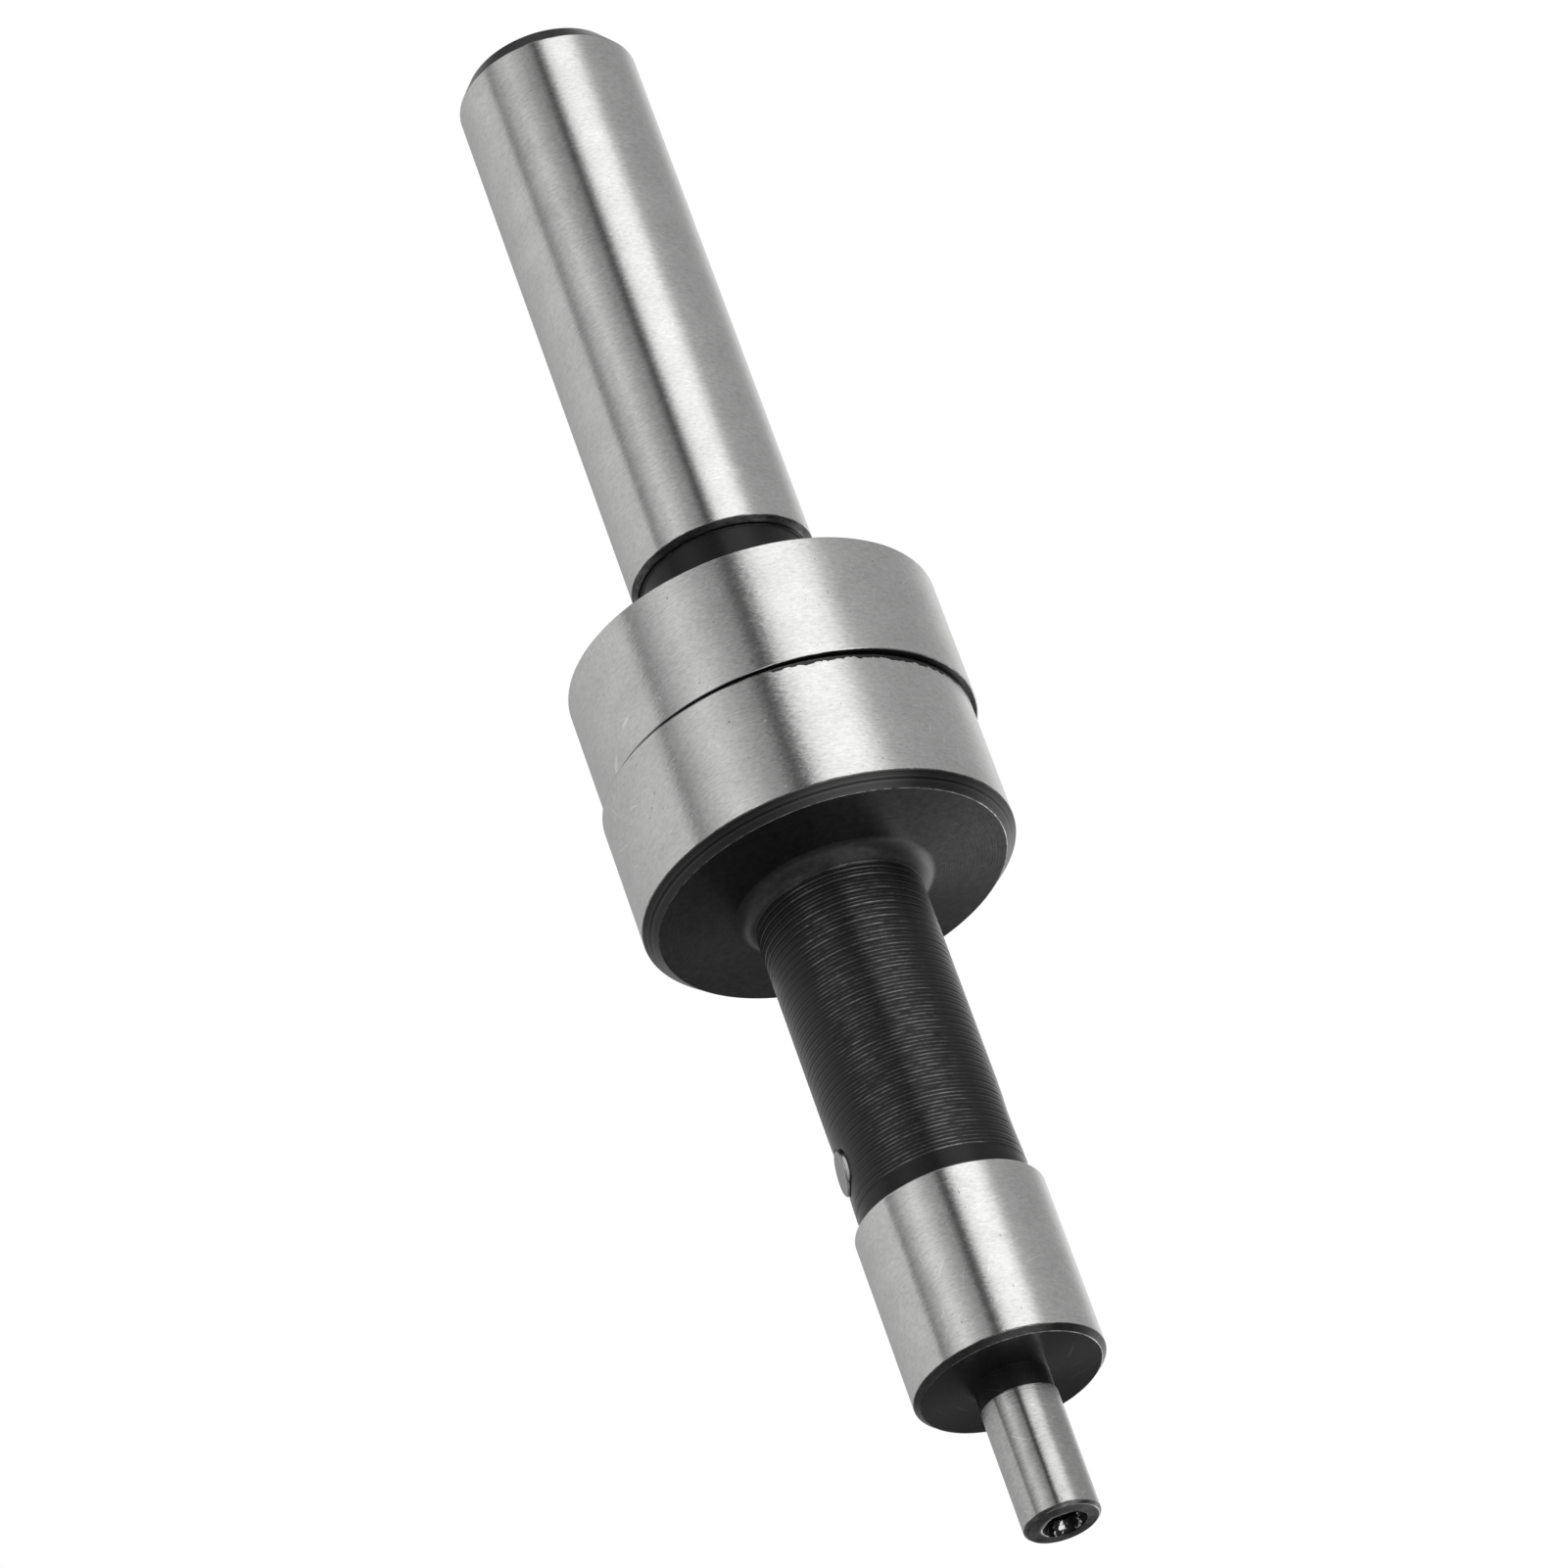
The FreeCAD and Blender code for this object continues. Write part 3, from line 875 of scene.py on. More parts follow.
def half_route(way):
    """Points and across directions from the coil's end to the eye's tip, for the upper or lower half."""
    end_angle = np.array([coil_start + (coil_turn if way > 0 else 0.0)])
    point, tangent, out = coil_points(end_angle)
    arc, leg_start = bend_points(point[0], way, tangent[0] * way)
    eye_z = upper_eye_z if way > 0 else lower_eye_z
    eye_way = leg_start * [1, 1, 0] / np.linalg.norm(leg_start[:2])
    eye_axis = np.cross(up_way, eye_way)
    eye_axis = eye_axis * np.sign(eye_axis @ out[0])
    share = np.linspace(0, 1, leg_steps)[1:, None]
    leg_end = np.array([leg_start[0], leg_start[1], eye_z])
    leg = leg_start + (leg_end - leg_start) * share
    leg_across = out[0] * (1 - share) + eye_axis * share
    turn = np.linspace(0, hook_wrap, eye_steps)[1:, None]
    eye = up_way * eye_z + eye_radius * (eye_way * np.cos(turn) + up_way * way * np.sin(turn))
    points = np.vstack([arc[1:], leg, eye])
    across = np.vstack([np.tile(out[0], (len(arc) - 1, 1)), leg_across, np.tile(eye_axis, (len(eye), 1))])
    return points, across


def spring_route():
    """The whole route from the lower eye's tip to the upper eye's tip, and its across directions."""
    low_points, low_across = half_route(-1)
    high_points, high_across = half_route(1)
    points, _, out = coil_points(coil_start + np.linspace(0, 1, steps_per_turn * full_turns) * coil_turn)
    route = np.vstack([low_points[::-1], points, high_points])
    return route, np.vstack([low_across[::-1], out, high_across])


print("coil in mm:", round(2 * coil_radius, 2), "across the wire's middle and", round(coil_height, 2), "high")

# %% The spring
wire_sides = 20
wire_end_bulge = 0.4
wire_end_steps = np.sin(np.linspace(0, math.pi / 2, 5)[:-1])


def make_spring():
    """The wire as a round tube: P + r (cos a N + sin a B), where N is across made square to the path."""
    route, across = spring_route()
    route = route + np.array([0.0, stylus_centre[1], 0.0])
    tangent = np.gradient(route, axis=0)
    tangent /= np.linalg.norm(tangent, axis=1, keepdims=True)
    normal = across - tangent * (across * tangent).sum(axis=1, keepdims=True)
    normal /= np.linalg.norm(normal, axis=1, keepdims=True)
    second = np.cross(tangent, normal)
    ends = np.sqrt(1 - (1 - wire_end_steps) ** 2)
    radius = np.full(len(route), wire_radius)
    low_tip = route[0] - tangent[0] * wire_radius * wire_end_bulge * (1 - wire_end_steps[:, None])
    high_tip = route[-1] + tangent[-1] * wire_radius * wire_end_bulge * (1 - wire_end_steps[::-1, None])
    path = np.vstack([low_tip, route, high_tip])
    radius = np.concatenate([ends * wire_radius, radius, ends[::-1] * wire_radius])
    pad = len(wire_end_steps)
    normal = np.pad(normal, ((pad, pad), (0, 0)), mode="edge")
    second = np.pad(second, ((pad, pad), (0, 0)), mode="edge")
    angle = -np.arange(wire_sides) / wire_sides * 2 * math.pi
    ring = np.cos(angle)[:, None] * normal[:, None] + np.sin(angle)[:, None] * second[:, None]
    grid = path[:, None] + radius[:, None, None] * ring
    along = np.concatenate([[0.0], np.cumsum(np.linalg.norm(np.diff(path, axis=0), axis=1))])
    values = {"corner": np.zeros(grid.shape[:2])}
    print("spring wire in mm:", round(along[-1], 1))
    return closed_surface("spring_wire", grid, -angle, along, values, np.zeros(len(path) - 1))


spring = make_spring()
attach(spring, "spring")
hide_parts("tension_spring")

# %% [markdown]
# Each finish is a set of nodes. A few helpers keep them short: one adds a node with its settings,
# others reckon, make noise or mix, and one opens a group with named sockets. Patterns are written in
# millimetres on the object's own coordinates, so that a grain keeps its size wherever it falls.

# %% Helpers for nodes


def add_node(tree, kind, inputs=None, **settings):
    """A new node of a kind, with settings as attributes and input values or links by name or number."""
    made = tree.nodes.new(kind)
    for key, value in settings.items():
        setattr(made, key, value)
    for key, value in (inputs or {}).items():
        if isinstance(value, bpy.types.NodeSocket):
            tree.links.new(value, made.inputs[key])
        else:
            made.inputs[key].default_value = value
    return made


def math_node(tree, operation, first, second=0.0, third=0.0, clamp=False):
    """The result of a sum, product or other operation on values or sockets."""
    made = add_node(tree, "ShaderNodeMath", {0: first, 1: second, 2: third}, operation=operation)
    made.use_clamp = clamp
    return made.outputs[0]


def product(tree, first, *others):
    """The product of two or more values or sockets."""
    for other in others:
        first = math_node(tree, "MULTIPLY", first, other)
    return first


def largest(tree, first, *others):
    """The largest of two or more values or sockets."""
    for other in others:
        first = math_node(tree, "MAXIMUM", first, other)
    return first


def noise_node(tree, vector, scale, detail=2.0, stretch=(1, 1, 1), roughness=0.5, shift=(0, 0, 0)):
    """Noise from 0 to 1 on coordinates in millimetres, finer along an axis where stretch is larger."""
    placed = add_node(tree, "ShaderNodeMapping", {"Vector": vector, "Scale": stretch, "Location": shift})
    values = {"Vector": placed.outputs[0], "Scale": scale, "Detail": detail, "Roughness": roughness}
    return add_node(tree, "ShaderNodeTexNoise", values).outputs["Fac"]


def remap(tree, value, low, high, to_low=0.0, to_high=1.0, smooth=False):
    """A value between low and high stretched to to_low and to_high, and held outside them."""
    inputs = {"Value": value, "From Min": low, "From Max": high, "To Min": to_low, "To Max": to_high}
    kind = "SMOOTHSTEP" if smooth else "LINEAR"
    return add_node(tree, "ShaderNodeMapRange", inputs, interpolation_type=kind).outputs["Result"]


def mix_value(tree, share, first, second):
    """first where share is 0 and second where it is 1."""
    made = add_node(tree, "ShaderNodeMix", {"Factor": share, 2: first, 3: second}, data_type="FLOAT")
    return made.outputs[0]


def mix_colour(tree, share, first, second):
    """The colour first where share is 0 and second where it is 1."""
    made = add_node(tree, "ShaderNodeMix", {"Factor": share, 6: first, 7: second}, data_type="RGBA")
    return made.outputs[2]


def grey(level):
    """A grey with a hair of warmth, as a colour."""
    return (level, level * 0.997, level * 0.99, 1.0)


def mix_greys(tree, share, first, second):
    """The grey of level first where share is 0, and that of level second where it is 1."""
    return mix_colour(tree, share, grey(first), grey(second))


def tint(tree, colour, mask, strength, level):
    """The colour drawn towards a grey of the given level, by a mask times a strength."""
    return mix_colour(tree, product(tree, mask, strength), colour, grey(level))


print("a level of 0.5 is the colour", grey(0.5))

# %% Groups and coordinates


def open_group(name, inputs, outputs):
    """A shader node group with float inputs, given with their values, and float outputs."""
    tree = bpy.data.node_groups.new(name, "ShaderNodeTree")
    for title, value in inputs.items():
        socket = tree.interface.new_socket(title, in_out="INPUT", socket_type="NodeSocketFloat")
        socket.default_value = value
    for title in outputs:
        tree.interface.new_socket(title, in_out="OUTPUT", socket_type="NodeSocketFloat")
    return tree, tree.nodes.new("NodeGroupInput"), tree.nodes.new("NodeGroupOutput")


def object_mm(tree):
    """The object's own coordinates in millimetres."""
    own = add_node(tree, "ShaderNodeTexCoord").outputs["Object"]
    scaled = add_node(tree, "ShaderNodeVectorMath", {0: own, 1: (1 / MM,) * 3}, operation="MULTIPLY")
    return scaled.outputs[0]


def read_value(tree, title):
    """A value that the mesh carries."""
    return add_node(tree, "ShaderNodeAttribute", attribute_name=title).outputs["Fac"]


def use_group(tree, group, **values):
    """The outputs of a shared effect placed in a material with its own values."""
    made = add_node(tree, "ShaderNodeGroup", node_tree=group)
    for key, value in values.items():
        made.inputs[key.replace("_", " ").capitalize()].default_value = value
    return made.outputs


print("values on the stylus:", [value.name for value in stylus.data.attributes if value.data_type == "FLOAT"])

# %% [markdown]
# Three effects are shared. Grinding grain runs round the part: short streaks, finer from row to row
# than round the part, over soft clouds. Turning rings follow the distance along the outline. Marks are
# the small accidents of a used tool: dark pits, bright specks, and hair scratches in wide arcs.

# %% Grinding grain
grain_patterns = {
    "Streaks": {"scale": 1.0, "detail": 3.0, "stretch": (2.0, 2.0, 11.0)},
    "Clouds": {"scale": 1.0, "detail": 4.0, "stretch": (3.2, 3.2, 6.0), "roughness": 0.62},
    "Patches": {"scale": 0.35, "detail": 2.0, "stretch": (1, 1, 1.6)},
}


def make_grain_group():
    """Streaks, Clouds and Patches from 0 to 1, all longer round the axis than along it."""
    tree, given, result = open_group("grinding_grain", {"Fineness": 1.0}, grain_patterns)
    own = object_mm(tree)
    fine = add_node(tree, "ShaderNodeVectorMath", {0: own, "Scale": given.outputs[0]}, operation="SCALE")
    for title, pattern in grain_patterns.items():
        tree.links.new(noise_node(tree, fine.outputs[0], **pattern), result.inputs[title])
    return tree


grain_group = make_grain_group()
print(grain_group.name, "gives", list(grain_patterns))

# %% Turning rings


def make_ring_group():
    """Rings from 0 to 1 at a pitch in millimetres, uneven in height, from the turned map."""
    tree, given, result = open_group("turning_rings", {"Pitch": 0.1}, ("Rings",))
    uv = add_node(tree, "ShaderNodeUVMap", uv_map=TURNED_MAP).outputs[0]
    along = add_node(tree, "ShaderNodeSeparateXYZ", {0: uv}).outputs[1]
    scaled = math_node(tree, "DIVIDE", along, given.outputs[0])
    rings = add_node(
        tree, "ShaderNodeTexNoise", {"W": scaled, "Scale": 1.0, "Detail": 1.5}, noise_dimensions="1D"
    )
    tree.links.new(rings.outputs["Fac"], result.inputs[0])
    return tree


ring_group = make_ring_group()
print(ring_group.name, "gives Rings")

# %% Pits, specks and hairs
dot_kinds = {
    "Pit": {"size": 0.07, "shift": 0.0, "squeeze": (1, 1, 0.55)},
    "Speck": {"size": 0.09, "shift": 7.7, "squeeze": (1, 1, 1)},
}
dot_cells, dot_edge, dot_warp = 2.1, (0.09, 0.14), 0.2
hair_cells, hair_spacing, hair_width, hair_wander = 0.08, 0.028, 0.0022, 0.025
hair_breaks = (0.52, 0.62)


def scatter(tree, place, scale, share):
    """Cells at scattered middles: each point's distance from its own, a mask of some and a random value."""
    cells = add_node(tree, "ShaderNodeTexVoronoi", {"Vector": place, "Scale": scale})
    chosen = add_node(tree, "ShaderNodeSeparateXYZ", {0: cells.outputs["Color"]})
    kept = math_node(tree, "LESS_THAN", chosen.outputs[0], share)
    return cells.outputs["Distance"], kept, chosen.outputs[1]


def dot_mask(tree, place, share, size, shift, squeeze):
    """1 inside warped dots: where the distance from a middle is under the dot's own size."""
    warp = noise_node(tree, place, scale=6.0, detail=1.0)
    inputs = {"Vector": place, "Location": (shift,) * 3, "Scale": squeeze}
    moved = add_node(tree, "ShaderNodeMapping", inputs).outputs[0]
    distance, kept, random_size = scatter(tree, moved, dot_cells, share)
    near = math_node(tree, "MULTIPLY_ADD", warp, dot_warp, distance)
    left = math_node(tree, "SUBTRACT", near, product(tree, random_size, size))
    return product(tree, remap(tree, left, *dot_edge, 1.0, 0.0), kept)


def hair_mask(tree, place, share):
    """1 on broken thin arcs: where the distance from a middle is close to an even number of spacings."""
    distance, kept, _ = scatter(tree, place, hair_cells, share)
    wander = math_node(tree, "MULTIPLY_ADD", noise_node(tree, place, 0.5, 1.0), hair_wander, distance)
    ring = math_node(tree, "PINGPONG", wander, hair_spacing)
    line = remap(tree, ring, 0.0, hair_width, 1.0, 0.0)
    broken = remap(tree, noise_node(tree, place, 0.8, 3.0, shift=(3, 1, 4)), *hair_breaks)
    return product(tree, line, broken, kept)


def make_mark_group():
    """Pits, Specks and Hairs from 0 to 1, each on a given share of the cells that could hold one."""
    shares = {"Pit share": 0.2, "Speck share": 0.2, "Hair share": 0.2}
    tree, given, result = open_group("tool_marks", shares, ("Pits", "Specks", "Hairs"))
    place = object_mm(tree)
    for title, kind in dot_kinds.items():
        dots = dot_mask(tree, place, given.outputs[f"{title} share"], **kind)
        tree.links.new(dots, result.inputs[f"{title}s"])
    tree.links.new(hair_mask(tree, place, given.outputs["Hair share"]), result.inputs["Hairs"])
    return tree


mark_group = make_mark_group()
print(mark_group.name, "gives Pits, Specks and Hairs")

# %% [markdown]
# Where grinding cuts through the black, the border is a little ragged, because the edge under it was
# never perfect. The border value of the mesh, in millimetres, is shifted by a fine and a coarse noise
# and turned into a mask. The same mask serves the ground and the black material, so they meet without
# a seam.

# %% Open a metal material
quarter_turn = 0.25
border_blur = 0.012


def new_metal(name, anisotropy):
    """A material with its node tree and shader, whose gloss is drawn out along the part's axis."""
    material = bpy.data.materials.new(name)
    material.use_nodes = True
    tree = material.node_tree
    shader = tree.nodes["Principled BSDF"]
    shader.inputs["Anisotropic"].default_value = anisotropy
    shader.inputs["Anisotropic Rotation"].default_value = quarter_turn
    around = add_node(tree, "ShaderNodeTangent", direction_type="RADIAL", axis="Z")
    tree.links.new(around.outputs[0], shader.inputs["Tangent"])
    return material, tree, shader


def feed(tree, shader, sockets):
    """Links the sockets to the shader's inputs of the given names."""
    for title, socket in sockets.items():
        tree.links.new(socket, shader.inputs[title])


def bump_normal(tree, height, distance):
    """Normal of a height pattern, given in shares of a distance in millimetres."""
    return add_node(tree, "ShaderNodeBump", {"Height": height, "Distance": distance * MM}).outputs[0]


def ragged_border(tree):
    """1 on ground steel and 0 on blackened steel, with a border that wanders by the fray value."""
    place = object_mm(tree)
    fine = remap(tree, noise_node(tree, place, 5.0, 3.0), 0.52, 0.72)
    coarse = remap(tree, noise_node(tree, place, 0.9, 3.0, (1, 1, 0.5), 0.55), 0.34, 0.62)
    chips = product(tree, coarse, math_node(tree, "MULTIPLY_ADD", fine, 0.25, 0.75))
    share = largest(tree, product(tree, fine, 0.4), chips)
    rough = product(tree, share, read_value(tree, "fray"))
    shifted = math_node(tree, "SUBTRACT", read_value(tree, "border"), rough)
    return remap(tree, shifted, -border_blur, border_blur)


print("the border blurs over", 2 * border_blur, "mm")

# %% [markdown]
# Ground steel is bright, but no mirror. The wheel left streaks round the part, between clouds and
# patches of lighter and darker tone, and fine dark flecks. Strong anisotropy draws each reflection out
# along the part, because a streak that runs round it scatters light up and down only. The wear value
# decides how many pits and hairs show.

# %% Ground steel
steel_levels = (0.34, 0.80)
tone_swings = {"Streaks": 0.30, "Clouds": 0.60, "Patches": 0.30}
dull_drop = 0.28
torn_level, torn_roughness = 0.006, 0.4
steel_roughness = (0.15, 0.23)
fleck_tint, pit_tint = (0.22, 0.12), (0.5, 0.08)
speck_tint, hair_tint = (0.5, 0.88), (0.6, 0.88)
grain_height, pit_depth = 0.012, 0.6


def ground_tone(tree, grain):
    """Tone of the steel from 0 to 1: 0.5, plus each pattern less a half times its swing, less the dull."""
    tone = math_node(tree, "MULTIPLY_ADD", read_value(tree, "dull"), -dull_drop, 0.5)
    for title, swing in tone_swings.items():
        centred = math_node(tree, "MULTIPLY_ADD", grain[title], swing, -swing / 2)
        tone = math_node(tree, "ADD", tone, centred)
    return tone


def make_ground_steel():
    """Bright ground steel: streaked grain round the part, clouds, flecks, pits, specks and hairs."""
    material, tree, shader = new_metal("ground_finish", anisotropy=1.0)
    grain = use_group(tree, grain_group, fineness=1.0)
    marks = use_group(tree, mark_group, pit_share=0.8, speck_share=0.35, hair_share=0.9)
    ground, wear = ragged_border(tree), read_value(tree, "wear")
    pits, hairs = product(tree, marks["Pits"], wear), product(tree, marks["Hairs"], wear)
    flecks = remap(tree, noise_node(tree, object_mm(tree), 3.0, 4.0, (1, 1, 1.8), 0.7), 0.56, 0.72)
    steel = mix_greys(tree, ground_tone(tree, grain), *steel_levels)
    steel = tint(tree, steel, flecks, *fleck_tint)
    steel = tint(tree, steel, pits, *pit_tint)
    steel = tint(tree, steel, marks["Specks"], *speck_tint)
    steel = tint(tree, steel, hairs, *hair_tint)
    rough = mix_value(tree, grain["Clouds"], *steel_roughness)
    relief = math_node(tree, "MULTIPLY_ADD", pits, -pit_depth, grain["Streaks"])
    height = product(tree, relief, math_node(tree, "MULTIPLY_ADD", wear, 0.6, 0.4))
    feed(tree, shader, {
        "Base Color": mix_colour(tree, ground, grey(torn_level), steel),
        "Metallic": ground,
        "Roughness": mix_value(tree, ground, torn_roughness, rough),
        "Normal": bump_normal(tree, height, grain_height),
    })
    return material


ground_steel = make_ground_steel()
print(ground_steel.name, "has", len(ground_steel.node_tree.nodes), "nodes")

# %% [markdown]
# Black oxide is no paint but a thin layer of the steel itself, and it holds oil. Where the cut was
# smooth, it is a film that reflects as a dark metal does, mottled or finely lined. Where the cut was
# coarse, it is thick and dull, and only its coat of oil shines, most of all at a flat angle. Corners,
# crests and hairs are rubbed through to bare metal, as bright as they are rubbed, and the ridges of
# the neck are painted bright in the same way on the camera's side, as a painted highlight.

# %% Blackened steel
thick_levels, lined_levels, mottled_levels = (0.004, 0.012), (0.018, 0.075), (0.034, 0.060)
bare_level, bare_onset, film_metal = 0.55, 12.0, 0.9
# The crest strength serves both rubbed crests and the painted highlight on the neck's ridges.
corner_rub, crest_rub_and_highlight, speck_rub, hair_rub = 0.6, 0.44, 0.10, 0.14
thick_roughness, film_roughness = (0.31, 0.41), (0.29, 0.37)
oil_weight, oil_roughness, oil_ior = 0.65, 0.15, 1.2
oxide_specular, oxide_height = 0.15, 0.004


def rub_and_highlight_mask(tree, marks):
    """How far the black is rubbed off, 0 to 1: the largest of what corners, crests and marks have lost, and
    of the painted highlight on the neck's ridges.
    """
    place = object_mm(tree)
    worn = remap(tree, noise_node(tree, place, 2.2, 5.0, roughness=0.7), 0.34, 0.64)
    crest_breaks = remap(tree, noise_node(tree, place, 1.3, 4.0, (1, 1, 2.5), 0.65), 0.34, 0.64)
    return largest(
        tree,
        product(tree, read_value(tree, "corner"), worn, corner_rub),
        product(tree, read_value(tree, "crest"), crest_breaks, crest_rub_and_highlight),
        product(tree, marks["Specks"], speck_rub),
        product(tree, marks["Hairs"], hair_rub),
        ragged_border(tree),
    )


def oxide_colour(tree, grain, polish):
    """Dull black where the cut was coarse, and a lined or mottled film where it was smooth."""
    lines = remap(tree, use_group(tree, ring_group, pitch=0.14)["Rings"], 0.36, 0.62)
    thick = mix_greys(tree, grain["Clouds"], *thick_levels)
    lined = mix_greys(tree, lines, *lined_levels)
    mottled = mix_greys(tree, remap(tree, grain["Clouds"], 0.3, 0.7), *mottled_levels)
    film = mix_colour(tree, read_value(tree, "lined"), mottled, lined)
    return mix_colour(tree, polish, thick, film)


def make_black_steel():
    """Turned steel under black oxide and oil, with corners, crests, specks and hairs rubbed bright, and a
    painted highlight on the neck's ridges.
    """
    material, tree, shader = new_metal("black_oxide", anisotropy=0.5)
    shader.inputs["Specular IOR Level"].default_value = oxide_specular
    shader.inputs["Coat IOR"].default_value = oil_ior
    shader.inputs["Coat Roughness"].default_value = oil_roughness
    grain = use_group(tree, grain_group, fineness=0.8)
    rings = use_group(tree, ring_group, pitch=0.07)
    marks = use_group(tree, mark_group, pit_share=0.05, speck_share=0.35, hair_share=0.5)
    # Rubbed-through wear, together with the painted highlight on the neck's ridges.
    polish, rub_and_highlight = read_value(tree, "polish"), rub_and_highlight_mask(tree, marks)
    bare = math_node(tree, "MULTIPLY", rub_and_highlight, bare_onset, clamp=True)
    turned = mix_value(tree, grain["Patches"], *thick_roughness)
    smooth = mix_value(tree, grain["Patches"], *film_roughness)
    height = math_node(tree, "MULTIPLY_ADD", grain["Clouds"], 0.4, rings["Rings"])
    feed(tree, shader, {
        "Base Color": mix_colour(tree, rub_and_highlight, oxide_colour(tree, grain, polish), grey(bare_level)),
        "Metallic": largest(tree, bare, product(tree, polish, film_metal)),
        "Roughness": mix_value(tree, polish, turned, smooth),
        "Coat Weight": mix_value(tree, polish, oil_weight, 0.0),
        "Normal": bump_normal(tree, height, oxide_height),
    })
    return material


black_steel = make_black_steel()
print(black_steel.name, "has", len(black_steel.node_tree.nodes), "nodes")

# %% [markdown]
# A centre hole keeps oil and swarf, so its wall is painted black, partly for that oil and partly as the
# painted shade of the deep hole, apart from a few patches where the drill's lips slid, which are
# smoother and painted bright as glints. The pins and the spring are plain rod and wire: cloudy grey
# metal with brighter corners.

# %% Drilled steel
# The wall's dark level is oil and painted shade of the hole, and its bright level paints glints.
wall_shade_and_glint_levels, wall_roughness = (0.02, 0.7), (0.4, 0.12)
chatter_share, chatter_height = 3.0, 0.015


def make_drilled_steel():
    """The wall of a centre hole: black for oil and swarf and as painted shade of the hole, and painted bright
    as glints where the drill's lips slid.
    """
    material, tree, shader = new_metal("drilled_wall", anisotropy=0.3)
    shader.inputs["Metallic"].default_value = 1.0
    place = object_mm(tree)
    rings = use_group(tree, ring_group, pitch=0.09)
    # Painted glints: smoother patches that are painted bright.
    burnish_and_glint = remap(tree, noise_node(tree, place, 2.6, 3.0, (1, 1, 0.8), 0.6), 0.56, 0.63)
    chatter = noise_node(tree, place, scale=3.0, detail=2.0)
    height = math_node(tree, "MULTIPLY_ADD", chatter, chatter_share, rings["Rings"])
    feed(tree, shader, {
        "Base Color": mix_greys(tree, burnish_and_glint, *wall_shade_and_glint_levels),
        "Roughness": mix_value(tree, burnish_and_glint, *wall_roughness),
        "Normal": bump_normal(tree, height, chatter_height),
    })
    return material


drilled_steel = make_drilled_steel()
print(drilled_steel.name, "has", len(drilled_steel.node_tree.nodes), "nodes")

# %% Pin steel and spring wire
rod_pit_tint, rod_corner_tint = (0.6, 0.03), (0.5, 0.6)
rod_height = 0.005


def make_rod_steel(name, levels, roughness):
    """Drawn or hardened rod: a cloudy grey metal with bright corners, a few pits and a smoother wall."""
    material, tree, shader = new_metal(name, anisotropy=0.2)
    shader.inputs["Metallic"].default_value = 1.0
    grain = use_group(tree, grain_group, fineness=1.6)
    marks = use_group(tree, mark_group, pit_share=0.3, speck_share=0.3, hair_share=0.0)
    colour = mix_greys(tree, grain["Clouds"], *levels)
    colour = tint(tree, colour, marks["Pits"], *rod_pit_tint)
    colour = tint(tree, colour, read_value(tree, "corner"), *rod_corner_tint)
    wall = remap(tree, read_value(tree, "border"), -0.02, 0.02)
    height = math_node(tree, "ADD", grain["Clouds"], grain["Streaks"])
    feed(tree, shader, {
        "Base Color": colour,
        "Roughness": mix_value(tree, wall, roughness, roughness / 2),
        "Normal": bump_normal(tree, height, rod_height),
    })
    return material


pin_steel = make_rod_steel("pin_finish", (0.22, 0.42), 0.36)
wire_steel = make_rod_steel("wire_finish", (0.20, 0.34), 0.30)
print(pin_steel.name, "and", wire_steel.name, "have", len(pin_steel.node_tree.nodes), "nodes each")

# %% Put the finishes on the pieces
turned_finishes = {"ground": ground_steel, "black": black_steel, "drilled": drilled_steel}
for piece in (arbor, stylus):
    for title in MATERIAL_ORDER:
        piece.data.materials.append(turned_finishes[title])
for piece in (lower_pin, upper_pin):
    piece.data.materials.append(pin_steel)
spring.data.materials.append(wire_steel)
print("materials:", [material.name for material in bpy.data.materials])

# %% [markdown]
# Polished steel shows little of itself and much of the room. So the studio is a round tent of cards,
# seen only in reflections: one bright panel to the right of the camera, grey cards elsewhere and a
# narrow gap nearly straight ahead. The levels are set by angle from the camera's side, in five bands:
# a ring near the floor, a low and a plain wall, a high wall and the roof. Each chamfer and face of the
# tool looks into a band of its own.

# %% Levels of the cards, by angle in degrees from the camera's side
tent_columns = 720
wall_cards = np.array([
    (-180, 0.42), (-140, 0.58), (-90, 0.80), (-69, 0.80), (-66, 0.30), (-62, 0.26), (-59, 0.48),
    (-52, 0.64), (-45, 0.72), (-36, 0.94), (-30, 0.86), (-21, 0.66), (-12, 0.46), (-5, 0.36), (0, 0.18),
    (3, 0.08), (6, 0.12), (10, 0.38), (14, 0.92), (18, 1.26), (24, 1.50), (32, 1.60), (44, 1.60),
    (52, 1.30), (58, 0.85), (64, 0.60), (80, 0.52), (110, 0.48), (128, 0.50), (142, 0.69), (156, 0.97),
    (180, 0.72),
])
left_of_gap = slice(8, 14)
high_gain, wall_gain = 0.45, 1.65
high_cards = wall_cards.copy()
high_cards[left_of_gap, 1] *= high_gain
wall_cards[left_of_gap, 1] *= wall_gain
roof_cards = np.array([(-180, 0.15), (-110, 0.2), (-60, 0.7), (0, 0.9), (60, 0.9), (110, 0.2), (180, 0.15)])
low_cards = np.array([
    (-180, 0.04), (-140, 0.04), (-123, 0.50), (-100, 0.50), (-60, 0.20), (0, 0.30), (20, 1.10),
    (65, 1.30), (80, 0.15), (108, 0.15), (123, 0.60), (140, 1.90), (152, 3.00), (168, 3.00), (174, 0.04),
    (180, 0.04),
])
ring_cards = np.array([
    (-180, 0.04), (-135, 0.04), (-110, 0.50), (-83, 0.50), (-72, 0.15), (-24, 0.15), (-10, 0.35),
    (0, 0.50), (15, 1.05), (45, 1.40), (68, 1.70), (76, 0.10), (110, 0.10), (150, 1.10), (168, 1.60),
    (174, 0.04), (180, 0.04),
])
